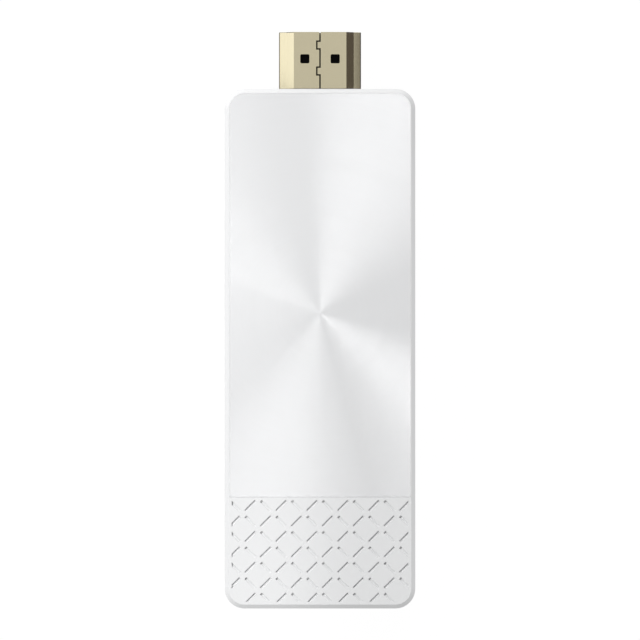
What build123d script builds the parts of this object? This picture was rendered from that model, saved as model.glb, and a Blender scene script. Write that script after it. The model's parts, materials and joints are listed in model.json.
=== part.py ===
from build123d import *
import math
import os

# A wireless display dongle: a slim white stick that plugs into a television's or projector's
# video socket and shows what a phone or laptop sends to it by radio.
#
# Frame, in millimetres: the stick lies on its back. +Z points out of its front face, +Y to the
# video plug, +X to the side that has the button and the light. The origin is the middle of the
# case's back face.
#
# How it comes apart: the front cover snaps into the rear cover all round. A spun-finish panel is
# stuck in the front cover with a sheet of adhesive, and a blank rating label sits in the rear
# cover. Inside, the board rests on the rear cover's bosses, with two screws and two locating
# pins. It carries the processor under a screening can, the memory, the radio module, the power
# parts, two stamped antennas, the light, the side-push switch, the video plug at one end and the
# power socket at the other. A heat spreader hangs on melted pins under the front cover.

# Case
CASE_WIDTH = 32.2
CASE_LENGTH = 87.8
CORNER_RADIUS = 3.35
FRONT_BEVEL = 0.68
BACK_ROUNDING = 1.1
WALL = 1.5
ROOF_SKIN = 1.1
FLOOR = 1.4
BACK_ROOM = 4.4
SMALLEST_RADIUS = 0.3

# Joint between the two covers: a lip on the front cover stands in a rebate of the rear cover
REVEAL_DEPTH = 0.2
REVEAL_HEIGHT = 0.25
LIP_HEIGHT = 1.0
LIP_THICKNESS = 0.65
LIP_CLEARANCE = 0.06
BEAD_LENGTH = 4.0
BEAD_HEIGHT = 0.5
BEAD_PROUD = 0.2
BEAD_SPACING = 25.0

# Front panel with the spun finish, and the adhesive under it
SEAM_FROM_END = 18.83
RIM_LAND = 0.1
PANEL_THICKNESS = 0.6
PANEL_GAP = 0.01
SEAM_GAP = 0.03
ADHESIVE_THICKNESS = 0.1
ADHESIVE_MARGIN = 0.8

# Lattice of short grooves below the panel: a shallow shelf with a deep slit at its upper left side
LATTICE_PITCH = 2.61
LATTICE_FROM_SEAM = 1.48
LATTICE_MARGIN = 0.5
GROOVE_LENGTH = 2.4
GROOVE_WIDTH = 0.46
GROOVE_KEPT_SHARE = 0.5
SHELF_DEPTH = 0.16
SHELF_WALL_TAPER = 20
SLIT_DEPTH = 0.6
SLIT_WIDTH = 0.2
SLIT_END_LENGTH = 0.3

# Rating label, blank, in the back
LABEL_WIDTH = 22.0
LABEL_LENGTH = 30.0
LABEL_RADIUS = 1.5
LABEL_THICKNESS = 0.1
LABEL_RECESS = 0.12
LABEL_GAP = 0.15
LABEL_FROM_END = 6.5

# Video plug: the standard's type A plug, its narrow side to the front
PLUG_WIDTH = 13.9
PLUG_HEIGHT = 4.45
PLUG_FLAT_WIDTH = 8.9
PLUG_STEEP_WIDTH = 1.25
PLUG_STEEP_HEIGHT = 1.35
PLUG_SHALLOW_HEIGHT = 0.75
PLUG_CORNER_RADIUS = 0.18
PLUG_BACK_RADIUS = 0.55
PLUG_SHEET = 0.3
PLUG_PROUD = 9.75
PLUG_INSIDE = 7.5
PLUG_TIP_CHAMFER = 0.1
PLUG_CLEARANCE = 0.1
SEAM_WIDTH = 0.25
SEAM_TAB_REACH = 0.54
SEAM_TAB_LENGTH = 1.32
SEAM_TAB_FROM_TIP = 1.56
SEAM_TAB_SPACING = 4.4
LATCH_HOLE = 1.55
LATCH_HOLE_RADIUS = 0.25
LATCH_HOLE_SPACING = 5.14
LATCH_HOLE_FROM_TIP = 4.55
PLUG_LEG_LENGTH = 4.0
PLUG_LEG_HEIGHT = 1.8
PLUG_INNER_RADIUS = 0.06

# Video plug's insulator and its nineteen contacts
INSULATOR_FIT = 0.02
INSULATOR_RECESS = 0.6
TONGUE_SLOT_WIDTH = 10.4
TONGUE_SLOT_HEIGHT = 1.9
TONGUE_SLOT_DEPTH = 7.2
LATCH_POCKET_DEPTH = 0.5
LATCH_POCKET_MARGIN = 0.15
BACK_CONTACT_COUNT = 10
FRONT_CONTACT_COUNT = 9
VIDEO_CONTACT_PITCH = 1.0
VIDEO_CONTACT_WIDTH = 0.4
VIDEO_CONTACT_THICKNESS = 0.2
VIDEO_CONTACT_SETBACK = 0.7
VIDEO_TAIL_BEND = 0.7
VIDEO_TAIL_LENGTH = 1.5

# Board
BOARD_THICKNESS = 1.0
BOARD_SIDE_GAP = 1.2
BOARD_END_GAP = 0.8
BOARD_PLUG_GAP = 0.2
BOARD_CORNER_RADIUS = 1.0
LEG_SLIT_CLEARANCE = 0.12

# Bosses, screws and locating pins
BOSS_RADIUS = 1.9
BOSS_FROM_SIDE = 4.9
BOSS_FROM_PLUG_EDGE = 5.2
BOSS_FROM_END = 16.4
SCREW_RADIUS = 0.7
SCREW_FIT = 0.02
SCREW_LENGTH = 3.6
SCREW_HEAD_RADIUS = 1.4
SCREW_HEAD_HEIGHT = 0.9
SCREW_HEAD_ROUNDING = 0.45
SCREW_CROSS_WIDTH = 0.35
SCREW_CROSS_LENGTH = 1.6
SCREW_CROSS_DEPTH = 0.5
BOARD_HOLE_CLEARANCE = 0.15
PIN_RADIUS = 0.7
PIN_PROUD = 0.6

# Ribs that clamp the board along its sides, and saddles round the plug
RIB_THICKNESS = 1.0
RIB_REACH = 1.7
RIB_CLEARANCE = 0.05
RIB_FROM_SHIELD_TOP = 4.0
RIB_SPACING = 12.0
SADDLE_THICKNESS = 1.2
SADDLE_FROM_WALL = 3.0
SADDLE_MARGIN = 2.2

# Processor, memory and their screening can
PROCESSOR_SIZE = 14.0
PROCESSOR_HEIGHT = 1.2
PROCESSOR_SUBSTRATE = 0.4
PROCESSOR_CAP_MARGIN = 0.6
MEMORY_WIDTH = 8.0
MEMORY_LENGTH = 10.5
MEMORY_HEIGHT = 1.0
MEMORY_GAP = 2.6
CHIP_SPACING = 2.0
CHIP_DIMPLE_RADIUS = 0.35
CHIP_DIMPLE_INSET = 1.05
CHIP_DIMPLE_DEPTH = 0.06
CHIP_CHAMFER = 0.12
SHIELD_FROM_BOARD_SIDE = 1.6
SHIELD_SHEET = 0.2
SHIELD_FLANGE = 0.7
SHIELD_RADIUS = 0.6
SHIELD_FIT = 0.05
SHIELD_SKIRT = 1.1
SHIELD_FROM_PLUG_EDGE = 8.2
SHIELD_HOLE_RADIUS = 0.5
SHIELD_HOLE_PITCH = 2.4
SHIELD_HOLE_COLUMNS = 7
SHIELD_HOLE_ROWS = 3
PROCESSOR_FROM_SHIELD = 2.4
MEMORY_FROM_SHIELD = 1.6
PROCESSOR_PAD_THICKNESS = 0.5
PROCESSOR_PAD_MARGIN = 1.0

# Heat spreader and the pad under it
SPREADER_PAD_THICKNESS = 1.0
SPREADER_THICKNESS = 0.8
SPREADER_SIDE_GAP = 2.4
SPREADER_OVERHANG = 2.5
SPREADER_RADIUS = 1.5
SPREADER_STANDOFF = 0.3
STAKE_RADIUS = 0.6
STAKE_COLLAR_RADIUS = 1.2
STAKE_HEAD_RADIUS = 1.1
STAKE_HEAD_HEIGHT = 0.4
STAKE_CLEARANCE = 0.08
STAKE_INSET = 1.6

# Parts on the board's back
FLASH_WIDTH = 11.5
FLASH_LENGTH = 13.0
FLASH_HEIGHT = 1.0
POWER_CHIP_SIZE = 5.0
POWER_CHIP_HEIGHT = 0.85
INDUCTOR_SIZE = 4.0
INDUCTOR_HEIGHT = 2.0
INDUCTOR_COUNT = 3
INDUCTOR_PITCH = 5.2
INDUCTOR_CHAMFER = 0.5
BULK_WIDTH = 2.8
BULK_LENGTH = 3.5
BULK_HEIGHT = 1.9
POWER_ROW_FROM_SHIELD = 9.0
POWER_CHIP_FROM_ROW = 6.6
BULK_GAP = 1.4

# Small parts in rows
CERAMIC_LENGTH = 1.0
CERAMIC_WIDTH = 0.5
CERAMIC_HEIGHT = 0.5
CERAMIC_CAP = 0.25
CERAMIC_CAP_PROUD = 0.03
CERAMIC_PITCH = 1.5
RESISTOR_HEIGHT = 0.35
RESISTOR_COUNT = 7
CERAMIC_ROW_COUNT = 8
CERAMIC_GRID_ROWS = 4
CERAMIC_GRID_COLUMNS = 2
ROW_FROM_CHIP = 1.0
CRYSTAL_WIDTH = 2.5
CRYSTAL_LENGTH = 3.2
CRYSTAL_HEIGHT = 0.8
CRYSTAL_BASE_HEIGHT = 0.25
CRYSTAL_LID_MARGIN = 0.1
CRYSTAL_LID_RADIUS = 0.5
CRYSTAL_GAP = 0.5
SURGE_WIDTH = 2.5
SURGE_LENGTH = 1.0
SURGE_HEIGHT = 0.5
SURGE_SPACING = 4.0
SURGE_FROM_PLUG_EDGE = 5.0

# Radio module and antennas
RADIO_SIZE = 12.0
RADIO_BOARD_THICKNESS = 0.5
RADIO_CAN_MARGIN = 0.4
RADIO_CAN_HEIGHT = 1.2
RADIO_CAN_RADIUS = 0.5
RADIO_CAN_ROUNDING = 0.3
RADIO_OFFSET = 5.0
ANTENNA_FROM_SIDE = 4.6
ANTENNA_WIDTH = 1.6
ANTENNA_LENGTH = 9.0
ANTENNA_SHEET = 0.2
ANTENNA_HEIGHT = 3.0
ANTENNA_LEG_WIDTH = 0.9
ANTENNA_LEG_SPACING = 2.2
ANTENNA_FROM_END = 4.2

# Power socket: the standard's micro-B socket, sunk in the board
SOCKET_WIDTH = 7.5
SOCKET_HEIGHT = 2.6
SOCKET_TAPER_WIDTH = 0.9
SOCKET_TAPER_HEIGHT = 1.1
SOCKET_SHEET = 0.25
SOCKET_LENGTH = 5.4
SOCKET_SETBACK = 0.4
SOCKET_CLEARANCE = 0.15
SOCKET_CORNER_RADIUS = 0.35
SOCKET_INNER_RADIUS = 0.1
SOCKET_BLOCK_LENGTH = 1.5
SOCKET_TONGUE_WIDTH = 3.9
SOCKET_TONGUE_THICKNESS = 0.55
SOCKET_TONGUE_LIFT = 0.1
SOCKET_TONGUE_SETBACK = 0.9
SOCKET_WING_WIDTH = 1.3
SOCKET_WING_LENGTH = 1.5
SOCKET_CONTACT_COUNT = 5
SOCKET_CONTACT_PITCH = 0.65
SOCKET_CONTACT_WIDTH = 0.3
SOCKET_CONTACT_THICKNESS = 0.1
SOCKET_TAIL_BEND = 0.6
SOCKET_TAIL_LENGTH = 0.9

# Reset button and the side-push switch behind it
BUTTON_FROM_END = 30.0
BUTTON_RISE = 1.05
BUTTON_LENGTH = 3.6
BUTTON_WIDTH = 1.8
BUTTON_CLEARANCE = 0.1
BUTTON_SETBACK = 0.1
BUTTON_FLANGE_LENGTH = 5.0
BUTTON_FLANGE_WIDTH = 2.5
BUTTON_FLANGE_THICKNESS = 0.45
BUTTON_FLANGE_RADIUS = 0.6
BUTTON_FLANGE_GAP = 0.05
BUTTON_EDGE = 0.15
BUTTON_TRAVEL = 0.25
SWITCH_LENGTH = 4.6
SWITCH_DEPTH = 2.3
SWITCH_HEIGHT = 2.1
SWITCH_WALL = 0.4
SWITCH_CHAMFER = 0.2
SWITCH_FROM_EDGE = 0.1
PLUNGER_LENGTH = 1.9
PLUNGER_HEIGHT = 1.0
PLUNGER_HEAD_DEPTH = 0.8
PLUNGER_FIT = 0.06
PLUNGER_HEAD_LENGTH = 2.8
LEAF_THICKNESS = 0.08
LEAF_SPAN = 2.6
LEAF_CLEARANCE = 0.03

# Status light and its light pipe
LIGHT_FROM_END = 37.5
LIGHT_FROM_EDGE = 0.1
LIGHT_LENGTH = 2.8
LIGHT_DEPTH = 1.0
LIGHT_HEIGHT = 1.6
LIGHT_WINDOW_RADIUS = 0.45
LIGHT_WINDOW_DEPTH = 0.12
PIPE_RADIUS = 0.8
PIPE_FIT = 0.04
PIPE_FLANGE_RADIUS = 1.25
PIPE_FLANGE_THICKNESS = 0.5
PIPE_GAP = 0.3

# Places worked out from the sizes above
PAST = 1.0
HALF_WIDTH = CASE_WIDTH / 2
HALF_LENGTH = CASE_LENGTH / 2
INNER_X = HALF_WIDTH - WALL
FACE_INSET = FRONT_BEVEL + RIM_LAND
SEAM_Y = SEAM_FROM_END - HALF_LENGTH
BOARD_BACK_Z = FLOOR + BACK_ROOM
PARTING_Z = BOARD_BACK_Z + BOARD_THICKNESS / 2
BOARD_FRONT_Z = BOARD_BACK_Z + BOARD_THICKNESS
BOARD_HALF_WIDTH = INNER_X - BOARD_SIDE_GAP
PLUG_TIP_Y = HALF_LENGTH + PLUG_PROUD
PLUG_REAR_Y = HALF_LENGTH - PLUG_INSIDE
BOARD_PLUG_Y = PLUG_REAR_Y - BOARD_PLUG_GAP
BOARD_END_Y = -HALF_LENGTH + WALL + BOARD_END_GAP
BOSS_X = HALF_WIDTH - BOSS_FROM_SIDE
BOSS_PLUG_Y = BOARD_PLUG_Y - BOSS_FROM_PLUG_EDGE
BOSS_END_Y = BOSS_FROM_END - HALF_LENGTH
SCREW_PLACES = [(BOSS_X, BOSS_PLUG_Y), (-BOSS_X, BOSS_END_Y)]
PIN_PLACES = [(-BOSS_X, BOSS_PLUG_Y), (BOSS_X, BOSS_END_Y)]
SHIELD_TOP_Y = BOARD_PLUG_Y - SHIELD_FROM_PLUG_EDGE
CHIPS_LENGTH = PROCESSOR_SIZE + CHIP_SPACING + MEMORY_LENGTH
SHIELD_LENGTH = PROCESSOR_FROM_SHIELD + CHIPS_LENGTH + MEMORY_FROM_SHIELD
SHIELD_END_Y = SHIELD_TOP_Y - SHIELD_LENGTH
SHIELD_Y = (SHIELD_TOP_Y + SHIELD_END_Y) / 2
SHIELD_WIDTH = 2 * (BOARD_HALF_WIDTH - SHIELD_FROM_BOARD_SIDE)
SHIELD_LID_Z = BOARD_FRONT_Z + PROCESSOR_HEIGHT + PROCESSOR_PAD_THICKNESS
PROCESSOR_Y = SHIELD_TOP_Y - PROCESSOR_FROM_SHIELD - PROCESSOR_SIZE / 2
MEMORY_Y = PROCESSOR_Y - PROCESSOR_SIZE / 2 - CHIP_SPACING - MEMORY_LENGTH / 2
FLASH_Y = PROCESSOR_Y - CHIP_SPACING
SPREADER_BACK_Z = SHIELD_LID_Z + SHIELD_SHEET + SPREADER_PAD_THICKNESS
SPREADER_TOP_Z = SPREADER_BACK_Z + SPREADER_THICKNESS
ROOF_Z = SPREADER_TOP_Z + SPREADER_STANDOFF
PANEL_FLOOR_Z = ROOF_Z + ROOF_SKIN
CASE_DEPTH = PANEL_FLOOR_Z + ADHESIVE_THICKNESS + PANEL_THICKNESS
SPREADER_HALF_WIDTH = INNER_X - SPREADER_SIDE_GAP
SPREADER_LENGTH = SHIELD_LENGTH + 2 * SPREADER_OVERHANG
STAKE_X = SPREADER_HALF_WIDTH - STAKE_INSET
STAKE_REACH = SPREADER_LENGTH / 2 - STAKE_INSET
STAKE_PLACES = [(x, SHIELD_Y + y) for x in (-STAKE_X, STAKE_X) for y in (-STAKE_REACH, STAKE_REACH)]
POWER_ROW_Y = SHIELD_END_Y - POWER_ROW_FROM_SHIELD
POWER_CHIP_Y = POWER_ROW_Y - POWER_CHIP_FROM_ROW
RADIO_Y = (SHIELD_END_Y + BOSS_END_Y) / 2
RADIO_SIDE_X = RADIO_SIZE / 2 - RADIO_OFFSET + ROW_FROM_CHIP + CERAMIC_PITCH
RIB_YS = [SHIELD_TOP_Y - RIB_FROM_SHIELD_TOP, SHIELD_TOP_Y - RIB_FROM_SHIELD_TOP - RIB_SPACING]
SOCKET_MOUTH_Y = -HALF_LENGTH + SOCKET_SETBACK
SOCKET_REAR_Y = SOCKET_MOUTH_Y + SOCKET_LENGTH
BUTTON_Y = BUTTON_FROM_END - HALF_LENGTH
BUTTON_Z = BOARD_FRONT_Z + BUTTON_RISE
LIGHT_Y = LIGHT_FROM_END - HALF_LENGTH
LIGHT_FRONT_X = BOARD_HALF_WIDTH - LIGHT_FROM_EDGE
SWITCH_FRONT_X = BOARD_HALF_WIDTH - SWITCH_FROM_EDGE
SWITCH_BACK_X = SWITCH_FRONT_X - SWITCH_DEPTH
FLANGE_OUT_X = INNER_X - BUTTON_FLANGE_GAP
FLANGE_IN_X = FLANGE_OUT_X - BUTTON_FLANGE_THICKNESS
SWITCH_Z = BOARD_FRONT_Z + SWITCH_HEIGHT / 2
INNER_SWITCH_HEIGHT = SWITCH_HEIGHT - 2 * SWITCH_WALL - 2 * PLUNGER_FIT
PLUNGER_HEAD_X = SWITCH_FRONT_X - SWITCH_WALL - PLUNGER_FIT
LEAF_APEX_X = PLUNGER_HEAD_X - PLUNGER_HEAD_DEPTH - BUTTON_TRAVEL - LEAF_CLEARANCE


def block(x0, x1, y0, y1, z0, z1):
    """A block between two corners."""
    centre = Pos((x0 + x1) / 2, (y0 + y1) / 2, (z0 + z1) / 2)
    return centre * Box(x1 - x0, y1 - y0, z1 - z0)


def plate(outline, z0, z1):
    """A flat outline raised into a plate between two heights."""
    return extrude(Pos(0, 0, z0) * outline, amount=z1 - z0, dir=(0, 0, 1))


def run_along_y(section, y0, y1):
    """A section drawn in X and Z, run along Y."""
    return extrude(Plane.XZ.offset(-y0) * section, amount=y1 - y0, dir=(0, 1, 0))


def run_along_x(section, x0, x1):
    """A section drawn in Y and Z, run along X."""
    return extrude(Plane.YZ.offset(x0) * section, amount=x1 - x0, dir=(1, 0, 0))


def upright_rod(x, y, z0, z1, radius):
    """A round rod that stands on z0."""
    return Pos(x, y, z0) * Cylinder(radius, z1 - z0, align=(Align.CENTER, Align.CENTER, Align.MIN))


def case_outline(inset):
    """The case's outline seen from the front, drawn in by an inset."""
    radius = max(CORNER_RADIUS - inset, SMALLEST_RADIUS)
    return RectangleRounded(CASE_WIDTH - 2 * inset, CASE_LENGTH - 2 * inset, radius)


def above_y(y):
    """A large flat area on the plug's side of a line across the case."""
    return Pos(0, y + CASE_LENGTH) * Rectangle(2 * CASE_WIDTH, 2 * CASE_LENGTH)


def panel_outline(side_gap, seam_gap):
    """The spun panel's outline, set in from its recess at its sides and at its straight end."""
    return case_outline(FACE_INSET + side_gap) & above_y(SEAM_Y + seam_gap)


def plug_outline(inset):
    """The video plug's section, in X and height from its middle, drawn in by an inset."""
    flat_x = PLUG_FLAT_WIDTH / 2
    steep_x = flat_x + PLUG_STEEP_WIDTH
    side_x = PLUG_WIDTH / 2
    front_z = PLUG_HEIGHT / 2
    steep_z = front_z - PLUG_STEEP_HEIGHT
    shallow_z = steep_z - PLUG_SHALLOW_HEIGHT
    half = [(flat_x, front_z), (steep_x, steep_z), (side_x, shallow_z), (side_x, -front_z)]
    outline = Polygon(*half, *[(-x, z) for x, z in reversed(half)], align=None)
    if inset:
        outline = offset(outline, amount=-inset, kind=Kind.INTERSECTION)
    heights = outline.vertices().group_by(Axis.Y)
    shoulders = [v for group in heights[1:] for v in group]
    outline = fillet(shoulders, max(PLUG_CORNER_RADIUS - inset, PLUG_INNER_RADIUS))
    back = outline.vertices().group_by(Axis.Y)[0]
    return fillet(back, max(PLUG_BACK_RADIUS - inset, PLUG_INNER_RADIUS))


def placed_plug_outline(inset):
    """The plug's section at its height in the case."""
    return Pos(0, PARTING_Z) * plug_outline(inset)


def socket_outline(inset):
    """The power socket's section, in X and height from its middle, drawn in by an inset."""
    side_x = SOCKET_WIDTH / 2
    front_z = SOCKET_HEIGHT / 2
    taper_x = side_x - SOCKET_TAPER_WIDTH
    taper_z = SOCKET_TAPER_HEIGHT - front_z
    half = [(side_x, front_z), (side_x, taper_z), (taper_x, -front_z)]
    outline = Polygon(*half, *[(-x, z) for x, z in reversed(half)], align=None)
    if inset:
        outline = offset(outline, amount=-inset, kind=Kind.INTERSECTION)
    return fillet(outline.vertices(), max(SOCKET_CORNER_RADIUS - inset, SOCKET_INNER_RADIUS))


def placed_socket_outline(inset):
    """The socket's section at its height in the case."""
    return Pos(0, PARTING_Z) * socket_outline(inset)


def plug_opening():
    """What the two covers' end walls and saddles leave open round the plug."""
    return run_along_y(placed_plug_outline(-PLUG_CLEARANCE), PLUG_REAR_Y, HALF_LENGTH + PAST)


def socket_opening():
    """What the two covers leave open round the power socket."""
    return run_along_y(placed_socket_outline(-SOCKET_CLEARANCE), -HALF_LENGTH - PAST, SOCKET_REAR_Y)


def saddle_block(z0, z1):
    """A rib across the case under or over the plug."""
    y1 = HALF_LENGTH - WALL - SADDLE_FROM_WALL
    reach = PLUG_WIDTH / 2 + SADDLE_MARGIN
    return block(-reach, reach, y1 - SADDLE_THICKNESS, y1, z0, z1)


def bead_places():
    """Middle of each snap bead along the case's sides."""
    return [-BEAD_SPACING, 0.0, BEAD_SPACING]


def snap_beads(grow):
    """Triangular ridges along the outside of the lip, grown for the grooves that take them."""
    root_x = HALF_WIDTH - WALL + LIP_THICKNESS
    middle_z = PARTING_Z - LIP_HEIGHT / 2
    half_height = BEAD_HEIGHT / 2 + grow
    ridge = Polygon(
        (root_x - LIP_THICKNESS / 2, middle_z + half_height),
        (root_x, middle_z + half_height),
        (root_x + BEAD_PROUD + grow, middle_z),
        (root_x, middle_z - half_height),
        (root_x - LIP_THICKNESS / 2, middle_z - half_height),
        align=None,
    )
    half_length = BEAD_LENGTH / 2 + grow
    right = [run_along_y(ridge, y - half_length, y + half_length) for y in bead_places()]
    return Part() + right + [mirror(bead, about=Plane.YZ) for bead in right]


def side_ribs(z0, z1):
    """Ribs on the side walls that meet the board's edges."""
    ribs = []
    for y in RIB_YS:
        y0, y1 = y - RIB_THICKNESS / 2, y + RIB_THICKNESS / 2
        ribs.append(block(INNER_X - RIB_REACH, INNER_X + WALL / 2, y0, y1, z0, z1))
        ribs.append(block(-INNER_X - WALL / 2, RIB_REACH - INNER_X, y0, y1, z0, z1))
    return ribs


def lattice_grooves():
    """Short two-level grooves on a diagonal lattice, trimmed just inside the face's edge."""
    inset = FRONT_BEVEL + LATTICE_MARGIN
    field = case_outline(inset) - above_y(SEAM_Y)
    first_y = SEAM_Y - LATTICE_FROM_SEAM
    rows = 1 + math.floor((first_y + HALF_LENGTH - inset) / LATTICE_PITCH)
    half_columns = math.floor((HALF_WIDTH - inset) / LATTICE_PITCH + 0.5)
    groove = Rectangle(GROOVE_LENGTH, GROOVE_WIDTH)
    cuts = []
    for row in range(rows):
        for column in range(2 * half_columns):
            x = (column + 0.5 - half_columns) * LATTICE_PITCH
            lean, slit_reach = (45, SLIT_WIDTH) if (row + column) % 2 else (-45, SLIT_END_LENGTH)
            placed = Pos(x, first_y - row * LATTICE_PITCH) * Rotation(0, 0, lean) * groove
            kept = placed & field
            if kept is None or kept.area < GROOVE_KEPT_SHARE * GROOVE_LENGTH * GROOVE_WIDTH:
                continue
            shift = slit_reach * math.sqrt(0.5)
            slit = kept - Pos(shift, -shift) * kept
            top = Pos(0, 0, CASE_DEPTH)
            cuts.append(extrude(top * kept, amount=SHELF_DEPTH, dir=(0, 0, -1), taper=SHELF_WALL_TAPER))
            cuts.append(extrude(top * slit, amount=SLIT_DEPTH, dir=(0, 0, -1)))
    return cuts


def front_cover():
    """Front half of the case: bevelled face, panel recess, lattice, lip, ribs and stakes."""
    body = plate(case_outline(0), PARTING_Z, CASE_DEPTH)
    body = chamfer(body.edges().group_by(Axis.Z)[-1], FRONT_BEVEL)
    body -= plate(case_outline(WALL), PARTING_Z, ROOF_Z)
    body -= plate(case_outline(-PAST) - case_outline(REVEAL_DEPTH), PARTING_Z, PARTING_Z + REVEAL_HEIGHT)
    lip_outline = case_outline(WALL - LIP_THICKNESS) - case_outline(WALL)
    body += plate(lip_outline, PARTING_Z - LIP_HEIGHT, PARTING_Z)
    body += snap_beads(0)
    body += side_ribs(BOARD_FRONT_Z + RIB_CLEARANCE, ROOF_Z)
    body += saddle_block(PARTING_Z, ROOF_Z)
    for x, y in STAKE_PLACES:
        body += upright_rod(x, y, SPREADER_TOP_Z, ROOF_Z, STAKE_COLLAR_RADIUS)
        body += upright_rod(x, y, SPREADER_BACK_Z, ROOF_Z, STAKE_RADIUS)
        body += upright_rod(x, y, SPREADER_BACK_Z - STAKE_HEAD_HEIGHT, SPREADER_BACK_Z, STAKE_HEAD_RADIUS)
    body -= plate(panel_outline(0, 0), PANEL_FLOOR_Z, CASE_DEPTH + PAST)
    body -= lattice_grooves()
    body -= plug_opening()
    body -= socket_opening()
    button_hole = SlotOverall(BUTTON_LENGTH + 2 * BUTTON_CLEARANCE, BUTTON_WIDTH + 2 * BUTTON_CLEARANCE)
    body -= run_along_x(Pos(BUTTON_Y, BUTTON_Z) * button_hole, INNER_X - PAST, HALF_WIDTH + PAST)
    pipe_hole = Pos(LIGHT_Y, BUTTON_Z) * Circle(PIPE_RADIUS + PIPE_FIT)
    body -= run_along_x(pipe_hole, INNER_X - PAST, HALF_WIDTH + PAST)
    return body


def rear_cover():
    """Back half of the case: rounded back edge, rebate, bosses, pins, ribs and label recess."""
    body = plate(case_outline(0), 0, PARTING_Z)
    body = fillet(body.edges().group_by(Axis.Z)[0], BACK_ROUNDING)
    body -= plate(case_outline(WALL), FLOOR, PARTING_Z)
    rebate_inset = WALL - LIP_THICKNESS - LIP_CLEARANCE
    body -= plate(case_outline(rebate_inset), PARTING_Z - LIP_HEIGHT - LIP_CLEARANCE, PARTING_Z)
    body -= snap_beads(LIP_CLEARANCE)
    for rib in side_ribs(FLOOR, BOARD_BACK_Z):
        body += rib & plate(case_outline(WALL - LIP_THICKNESS / 2), 0, PARTING_Z - LIP_HEIGHT - LIP_CLEARANCE)
        body += rib & plate(case_outline(WALL + LIP_CLEARANCE), 0, BOARD_BACK_Z)
    body += saddle_block(FLOOR, PARTING_Z)
    for x, y in SCREW_PLACES + PIN_PLACES:
        body += upright_rod(x, y, FLOOR, BOARD_BACK_Z, BOSS_RADIUS)
    for x, y in PIN_PLACES:
        body += upright_rod(x, y, FLOOR, BOARD_FRONT_Z + PIN_PROUD, PIN_RADIUS)
    for x, y in SCREW_PLACES:
        hole_z = BOARD_FRONT_Z - SCREW_LENGTH - SCREW_FIT
        body -= upright_rod(x, y, hole_z, PARTING_Z, SCREW_RADIUS + SCREW_FIT)
    body -= plate(label_outline(LABEL_GAP), 0, LABEL_RECESS)
    body -= plug_opening()
    body -= socket_opening()
    return body


def label_outline(grow):
    """The rating label's outline, grown for its recess."""
    centre_y = LABEL_FROM_END + LABEL_LENGTH / 2 - HALF_LENGTH
    return Pos(0, centre_y) * RectangleRounded(LABEL_WIDTH + 2 * grow, LABEL_LENGTH + 2 * grow, LABEL_RADIUS)


def rating_label():
    """A blank sheet that fills the recess in the back."""
    return plate(label_outline(0), LABEL_RECESS - LABEL_THICKNESS, LABEL_RECESS)


def spin_panel():
    """The flat front panel that carries the spun finish."""
    return plate(panel_outline(PANEL_GAP, SEAM_GAP), CASE_DEPTH - PANEL_THICKNESS, CASE_DEPTH)


def panel_adhesive():
    """The sheet of adhesive that holds the panel in its recess."""
    outline = panel_outline(ADHESIVE_MARGIN, ADHESIVE_MARGIN)
    return plate(outline, PANEL_FLOOR_Z, PANEL_FLOOR_Z + ADHESIVE_THICKNESS)


def seam_places():
    """Where the seam's tabs start, as distances from the plug's tip."""
    room = PLUG_PROUD + PLUG_INSIDE - SEAM_TAB_FROM_TIP - SEAM_TAB_LENGTH
    return [SEAM_TAB_FROM_TIP + n * SEAM_TAB_SPACING for n in range(1 + math.floor(room / SEAM_TAB_SPACING))]


def plug_seam():
    """The slit where the plug's sheet meets itself: a line with small square tabs."""
    half = SEAM_WIDTH / 2
    z0, z1 = PARTING_Z + PLUG_HEIGHT / 4, PARTING_Z + PLUG_HEIGHT
    slit = []
    straight_from = PLUG_TIP_Y + PAST
    for start in seam_places():
        tab_top = PLUG_TIP_Y - start
        tab_end = tab_top - SEAM_TAB_LENGTH
        slit.append(block(-half, half, tab_top - half, straight_from, z0, z1))
        for y in (tab_top, tab_end):
            slit.append(block(-SEAM_TAB_REACH - half, half, y - half, y + half, z0, z1))
        far_x = -SEAM_TAB_REACH
        slit.append(block(far_x - half, far_x + half, tab_end - half, tab_top + half, z0, z1))
        straight_from = tab_end + half
    slit.append(block(-half, half, PLUG_REAR_Y - PAST, straight_from, z0, z1))
    return slit


def latch_places():
    """The two latch holes' places on each wide face of the plug."""
    y = PLUG_TIP_Y - LATCH_HOLE_FROM_TIP
    return [(-LATCH_HOLE_SPACING / 2, y), (LATCH_HOLE_SPACING / 2, y)]


def plug_shell():
    """The plug's folded sheet-metal shell, with its seam, latch holes and board legs."""
    shell = run_along_y(placed_plug_outline(0), PLUG_REAR_Y, PLUG_TIP_Y)
    shell = chamfer(shell.edges().group_by(Axis.Y)[-1], PLUG_TIP_CHAMFER)
    shell -= run_along_y(placed_plug_outline(PLUG_SHEET), PLUG_REAR_Y - PAST, PLUG_TIP_Y + PAST)
    shell -= plug_seam()
    hole = RectangleRounded(LATCH_HOLE, LATCH_HOLE, LATCH_HOLE_RADIUS)
    for x, y in latch_places():
        shell -= plate(Pos(x, y) * hole, PARTING_Z - PLUG_HEIGHT, PARTING_Z + PLUG_HEIGHT)
    leg_top = PARTING_Z + PLUG_HEIGHT / 2 - PLUG_STEEP_HEIGHT - PLUG_SHALLOW_HEIGHT - PLUG_CORNER_RADIUS
    in_x, out_x = PLUG_WIDTH / 2 - PLUG_SHEET, PLUG_WIDTH / 2
    leg_y = PLUG_REAR_Y - PLUG_LEG_LENGTH
    for x0, x1 in ((in_x, out_x), (-out_x, -in_x)):
        shell += block(x0, x1, leg_y, PLUG_REAR_Y, leg_top - PLUG_LEG_HEIGHT, leg_top)
    return shell


def contact_strip(points, thickness):
    """A bent strip's side profile, in Y and Z, through its middle points."""
    upper = [(y, z + thickness / 2) for y, z in points]
    lower = [(y, z - thickness / 2) for y, z in reversed(points)]
    return Polygon(*upper, *lower, align=None)


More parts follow.
